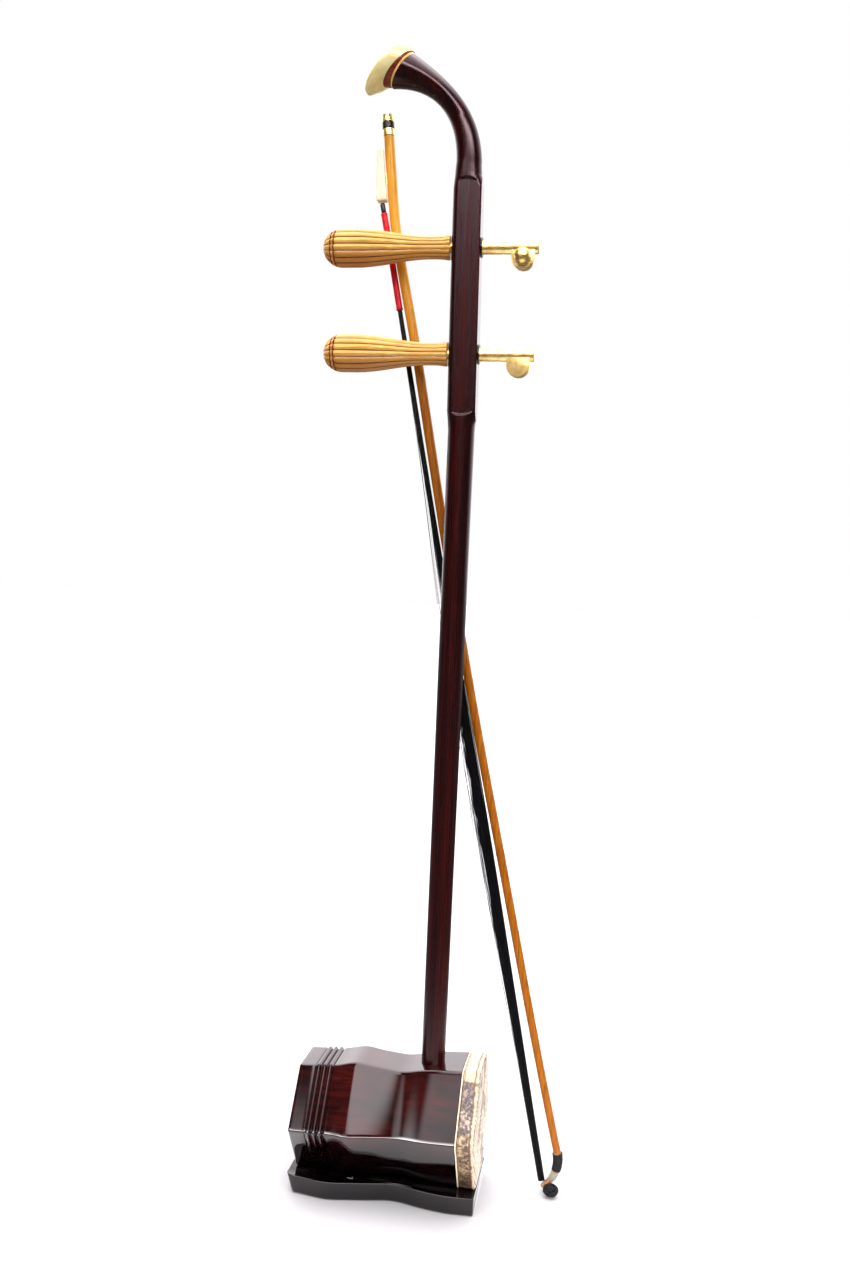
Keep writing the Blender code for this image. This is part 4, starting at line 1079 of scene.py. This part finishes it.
def make_collar(prefix):
    """The black collar round a peg's shaft on the front of the neck."""
    height = JOINTS[prefix + "_peg_turn"]["pos_m"][2] / MM
    back, front = extent(prefix + "_bushing", 0)
    face = neck_centre(height) + PEG_FRONT_FLAT + 0.1
    profile = [(5.1, front), (6.6, front), (6.9, front - 0.1), (7.0, front - 0.3),
               (7.0, face + 0.15), (6.0, face + 0.1), (6.0, back), (5.1, back)]
    collar = turned(prefix + "_collar", profile, (0.0, 0.0, height), (1.0, 0.0, 0.0), loop=True)
    join_frame(collar, "instrument", [BLACK_PLASTIC], "black_plastic", prefix + "_bushing")


# ---------------------------------------------------------------- bow

def stick_x(z):
    """The stick's axis: a long slight curve, set straighter where the frog slides."""
    down = BOW_TOP - z
    long_curve = -70.2 + 0.1745 * down + 0.0000535 * down ** 2
    set_back = 0.032 * max(z - 715.0, 0.0) - 2.7 * bump(z, 707.0, 60.0)
    return long_curve + set_back + bump(z, 230.0, 100.0)


def hair_x(z):
    """The hair runs straight from the frog to the tip."""
    return HAIR_FOOT_X - HAIR_SLOPE * z + 0.6 * bump(z, 690.0, 70.0)


def slope_of(line, z):
    """How far a line moves in X for a millimetre down."""
    return (line(z - 1.0) - line(z + 1.0)) / 2.0


def hair_half_width(z):
    """The hair is bound tight above and spreads into a ribbon below."""
    spread = 0.25 * min(max((640.0 - z) / 40.0, 0.0), 1.0)
    spread += 1.05 * min(max((450.0 - z) / 130.0, 0.0), 1.0)
    return 1.9 + spread - 0.5 * min(max((110.0 - z) / 100.0, 0.0), 1.0)


def bend_place(share):
    """A place on the bent tip's arc, and the way the stick runs there."""
    heading = -math.atan2(1.0, slope_of(stick_x, STICK_BEND_START))
    start = Vector((stick_x(STICK_BEND_START), STICK_BEND_START))
    centre = start + BEND_RADIUS * Vector((math.sin(heading), -math.cos(heading)))
    angle = heading - BEND_ANGLE * share
    place = centre - BEND_RADIUS * Vector((math.sin(angle), -math.cos(angle)))
    return place, Vector((math.cos(angle), math.sin(angle)))


def rod_along(name, path, radii):
    """A round bar along a path in the bow's plane."""
    rings = []
    for index, (place, radius) in enumerate(zip(path, radii)):
        before = path[max(index - 1, 0)]
        after = path[min(index + 1, len(path) - 1)]
        along = (after - before).normalized()
        across = Vector((along.y, -along.x)) * radius
        rings.append([(place.x + across.x * side, BOW_DEPTH + radius * depth,
                       place.y + across.y * side) for side, depth in circle(32)])
    return loft(name, rings, angle=50.0)


def make_stick():
    """The cane stick with slight swellings at its nodes, and the bent tip."""
    path = []
    radii = []
    for share in evenly(0.0, 1.0, 260):
        z = mix(STICK_TOP, STICK_BEND_START, share)
        radius = mix(STICK_RADIUS_TOP, STICK_RADIUS_LOW, share) - 0.05
        radius += sum(0.16 * bump(z, node, 2.2) - 0.10 * bump(z, node + 2.8, 1.3)
                      for node in STICK_NODES)
        path.append(Vector((stick_x(z), z)))
        radii.append(radius + 0.05 * wobble(2, z * 0.03))
    join_frame(rod_along("stick_cane", path, radii), "bow", [CANE], "cane", "bow_stick")
    shares = evenly(0.0, 1.0, 20)
    bend = [bend_place(share)[0] for share in shares]
    tip_radii = [mix(STICK_RADIUS_LOW, BEND_END_RADIUS, share) - 0.03 for share in shares]
    end, onward = bend_place(1.0)
    for share, radius in ((0.4, 2.5), (0.8, 2.3), (0.95, 1.9), (1.0, 1.3)):
        bend.append(end + onward * TIP_LENGTH * share)
        tip_radii.append(radius)
    join_frame(rod_along("stick_tip", bend, tip_radii), "bow", [TIP_WOOD], "cane")


def make_tail():
    """Ferrule, ring and cap at the top of the stick, about the screw's axis."""
    joint = JOINTS["bow_screw_turn"]
    place = [part / MM for part in joint["pos_m"]]
    axis = joint["axis"]
    ferrule = [(1.7, 5.4), (3.9, 5.4), (4.1, 5.2), (4.1, 1.6), (3.95, 1.4), (4.1, 1.2),
               (4.1, 0.6), (3.9, 0.35), (1.7, 0.35)]
    join_frame(turned("tail_ferrule", ferrule, place, axis, loop=True), "bow", [BRASS], "brass",
               "bow_ferrule")
    ring = [(1.4, 10.2), (4.2, 10.2), (4.4, 10.0), (4.4, 5.9), (4.2, 5.7), (1.4, 5.7)]
    join_frame(turned("tail_ring", ring, place, axis, loop=True), "bow_button",
               [BLACK_PLASTIC], "black_plastic", "bow_button_ring")
    cap = [(1.4, 10.5), (4.0, 10.5), (4.15, 10.65), (4.15, 11.4), (4.0, 11.6), (4.15, 11.8),
           (4.15, 15.2), (4.05, 15.5), (3.8, 15.65), (2.4, 15.7), (2.2, 15.45), (0.3, 15.4)]
    join_frame(turned("tail_cap", cap, place, axis), "bow_button", [BRASS], "brass",
               "bow_button_cap")


def hair_frame(z):
    """The hair's centre and its sideways direction at a height."""
    across = Vector((1.0, 0.0, slope_of(hair_x, z))).normalized()
    return Vector((hair_x(z), BOW_DEPTH, z)), across


def make_hair():
    """The hair as strands: a flat bundle, wider in the middle, with some that bow out."""
    shake = random.Random(11)
    lines = []
    for _ in range(HAIR_COUNT):
        around = shake.uniform(0.0, 2.0 * math.pi)
        reach = math.sqrt(shake.random())
        loose = shake.random() ** 6 * LOOSE_REACH
        centre = shake.uniform(0.35, 0.75)
        phase = shake.uniform(0.0, 40.0)
        path = []
        for share in evenly(0.0, 1.0, HAIR_STEPS):
            z = mix(HAIR_TOP + 4.0, HAIR_END - 1.0, share)
            place, across = hair_frame(z)
            belly = math.sin(math.pi * share)
            wander = 0.35 * belly * wobble(4, share * 5.0, phase)
            spread = (hair_half_width(z) - 0.3) * (1.0 + 0.4 * bump(share, 0.6, 0.22))
            offset = reach * math.cos(around) * spread + wander
            offset -= loose * bump(share, centre, 0.2) * belly
            depth = reach * math.sin(around) * 1.6 + wander * 0.4
            path.append(place + across * offset + Vector((0.0, depth, 0.0)))
        lines.append((path, shake.uniform(0.09, 0.15)))
    join_frame(strands("hair_ribbon", lines), "bow", [HORSE_HAIR], "horse_hair", "bow_hair")


def hair_bar(name, stations, ripple):
    """A soft bar round the hair from (height, radius) stations, with uneven folds."""
    rings = []
    for z, radius in stations:
        place, across = hair_frame(z)
        ring = []
        for side, depth in circle(40):
            fold = wobble(7, side * 1.3, depth * 1.3, z * 0.11)
            reach = radius - ripple * (0.5 + 0.5 * fold)
            ring.append(place + across * reach * side + Vector((0.0, reach * depth, 0.0)))
        rings.append(ring)
    return loft(name, rings, angle=60.0)


def make_hair_ends():
    """The red sleeve and the black binding that ride with the frog."""
    sleeve = [(650.0, 2.0), (650.2, 2.5), (650.8, 2.7)]
    sleeve += [(z, 2.47) for z in evenly(652.0, 719.5, 60)] + [(720.8, 2.6), (721.2, 2.2)]
    join_frame(hair_bar("hair_sleeve", sleeve, 0.12), "bow_frog_slider", [RED_SLEEVE],
               "red_sleeve", "bow_sleeve")
    bound = [(721.6, 1.6), (722.0, 1.95), (723.0, 1.85), (724.0, 2.0), (725.5, 1.9),
             (727.4, 2.0), (728.2, 1.6)]
    join_frame(hair_bar("hair_end_wrap", bound, 0.25), "bow_frog_slider", [BLACK_PLASTIC],
               "black_plastic", "bow_hair_end")


def winding(name, start, end, outer, thread, turns):
    """Thread wound round the bent tip in close turns, from one share of its arc to another."""
    path = []
    steps_per_turn = 18
    for step, along_wind in enumerate(evenly(0.0, 1.0, turns * steps_per_turn)):
        share = mix(start, end, along_wind)
        place, along = bend_place(share)
        around = 2.0 * math.pi * step / steps_per_turn
        reach = outer - 0.6 * share - thread - 0.1 + 0.12 * wobble(6, along_wind * 30.0)
        side = reach * math.cos(around)
        path.append((place.x + along.y * side, BOW_DEPTH + reach * math.sin(around),
                     place.y - along.x * side))
    return strands(name, [(path, thread)], sides=2)


def make_tip():
    """Windings at the bend and the knotted bundle of hair beside the tip."""
    join_frame(winding("tip_winding_black", 0.03, 0.51, 4.0, 0.55, 13), "bow", [BLACK_THREAD],
               "black_plastic", "bow_tip_binding")
    join_frame(winding("tip_winding_pale", 0.555, 0.785, 3.5, 0.4, 8), "bow", [PALE_THREAD],
               "grey_thread", "bow_tip_thread")
    low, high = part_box("bow_hair_knot")
    centre = (low + high) * 0.5 / MM
    half = (high - low) * 0.5 / MM
    shake = random.Random(5)
    lines = []
    for _ in range(KNOT_LOOPS):
        tilt = Vector([shake.uniform(-1, 1) for _ in range(3)]).normalized()
        first = tilt.orthogonal().normalized()
        second = tilt.cross(first)
        reach = shake.uniform(0.72, 0.93)
        shift = tilt * shake.uniform(-0.35, 0.35)
        path = []
        for across, up in circle(18) + [(1.0, 0.0)]:
            point = (first * across + second * up) * reach + shift
            point = point.normalized() * min(point.length, 0.93)
            path.append(centre + point * half)
        lines.append((path, KNOT_HAIR))
    join_frame(strands("hair_knot", lines, sides=1), "bow", [HORSE_HAIR], "horse_hair",
               "bow_hair_knot")


# ---------------------------------------------------------------- CAD nodes that stay

def finish_nodes():
    """Materials for the CAD nodes that show as they are."""
    for name, look in (("base_screw", STEEL), ("bow_screw_rod", STEEL), ("bow_frog_nut", BRASS),
                       ("bow_frog", FROG_BONE)):
        node = frame["nodes"][name]
        node.data.materials.clear()
        node.data.materials.append(look)
        shade(node, 35.0)


# ---------------------------------------------------------------- stage

def make_floor():
    """A pale floor: white round the object's foot, and darker beyond it in the object's gloss."""
    bpy.ops.mesh.primitive_plane_add(size=60.0)
    floor = bpy.context.object
    floor.name = "stage_floor"
    look = Look("pale_floor", roughness=0.9, specular=0.0)
    seen = look.add("LightPath", {}, "Is Camera Ray")
    away = look.rise(look.distance(look.place()), 180.0, 480.0)
    sheet = look.blend(away, (0.80, 0.80, 0.80), (0.07, 0.07, 0.07))
    look.colour(look.blend(seen, sheet, (0.43, 0.43, 0.43)))
    floor.data.materials.append(look.material)


def make_sky():
    """Studio light from behind and above, a fill for matt surfaces and windows for gloss."""
    world = bpy.data.worlds.new("studio")
    bpy.context.scene.world = world
    world.use_nodes = True
    world.node_tree.nodes.clear()
    sky = Nodes(world.node_tree)
    where = sky.add("TexCoord", {}, "Generated")
    ray = sky.add("LightPath", {}).node.outputs
    x, y, z = sky.split(where)
    bearing = sky.do("DEGREES", sky.do("ARCTAN2", x, sky.do("MULTIPLY", y, -1.0)))
    height = sky.do("DEGREES", sky.do("ARCSINE", z))

    def lobe(direction, edge, full, strength):
        """Light from round a direction, rising from edge to full as the cosine to it grows."""
        cosine = sky.add("VectorMath", {0: where, 1: Vector(direction).normalized()}, "Value",
                         operation="DOT_PRODUCT")
        return sky.rise(cosine, edge, full, 0.0, strength)

    def window(left, right, side_blur, low, high, edge_blur, strength):
        """A lit patch of sky in front of the object, given by its bearings in degrees."""
        return sky.do("MULTIPLY", sky.rise(bearing, left, left + side_blur),
                      sky.rise(bearing, right - side_blur, right, 1.0, 0.0),
                      sky.rise(height, low, low + edge_blur),
                      sky.rise(height, high - edge_blur, high, 1.0, 0.0), strength)

    behind = lobe((0.0, 1.0, 0.25), 0.0, 0.75, 2.6)
    above = lobe((0.0, 0.0, 1.0), 0.78, 0.97, 6.0)
    fill = lobe((0.15, -0.62, 0.77), 0.35, 0.95, 2.9)
    windows = sky.do(
        "ADD",
        window(left=-27.0, right=30.0, side_blur=5.0, low=44.6, high=62.0, edge_blur=3.0,
               strength=3.9),
        window(left=-32.0, right=-9.0, side_blur=7.0, low=36.0, high=45.0, edge_blur=3.0,
               strength=1.9),
        window(left=-50.0, right=60.0, side_blur=20.0, low=20.0, high=40.0, edge_blur=9.0,
               strength=26.0))
    light = sky.do("ADD", behind, above, sky.do("MULTIPLY", windows, ray["Is Glossy Ray"]),
                   sky.do("MULTIPLY", fill, ray["Is Diffuse Ray"]), 0.06)
    studio = sky.add("Background", {"Color": (1.0, 0.965, 0.995), "Strength": light})
    paper = sky.add("Background", {"Color": (1.0, 0.998, 1.0), "Strength": 1.0})
    shown = sky.add("MixShader", {0: ray["Is Camera Ray"], 1: studio, 2: paper})
    output = sky.tree.nodes.new("ShaderNodeOutputWorld")
    sky.feed(output.inputs["Surface"], shown)


def make_camera():
    """The fitted viewpoint: low, in front of the right side, turned a little to the left."""
    data = bpy.data.cameras.new("camera")
    data.sensor_fit = "VERTICAL"
    data.sensor_width = 36.0
    data.sensor_height = 36.0
    data.lens = 36.0 * 1180.69 / 1280.0
    camera = bpy.data.objects.new("camera", data)
    bpy.context.scene.collection.objects.link(camera)
    azimuth = math.radians(9.79)
    pitch = math.radians(2.601)
    roll = math.radians(2.502)
    forward = Vector((-math.sin(azimuth) * math.cos(pitch), math.cos(azimuth) * math.cos(pitch),
                      -math.sin(pitch)))
    level = Vector((math.cos(azimuth), math.sin(azimuth), 0.0))
    upright = level.cross(forward)
    right = level * math.cos(roll) + upright * math.sin(roll)
    up = upright * math.cos(roll) - level * math.sin(roll)
    turn = Matrix((right, up, -forward)).transposed()
    camera.matrix_world = Matrix.Translation(Vector((126.64, -849.6, 446.8)) * MM) @ turn.to_4x4()
    bpy.context.scene.camera = camera


make_tube()
make_skin()
make_edge_band()
make_sound_window()
make_base()
make_neck()
make_head()
for peg in ("upper", "lower"):
    make_peg(peg)
    make_knob(peg)
    make_collar(peg)
make_stick()
make_tail()
make_hair()
make_hair_ends()
make_tip()
finish_nodes()
make_floor()
make_sky()
make_camera()
bpy.context.scene.view_settings.view_transform = "Standard"
bpy.context.view_layer.update()
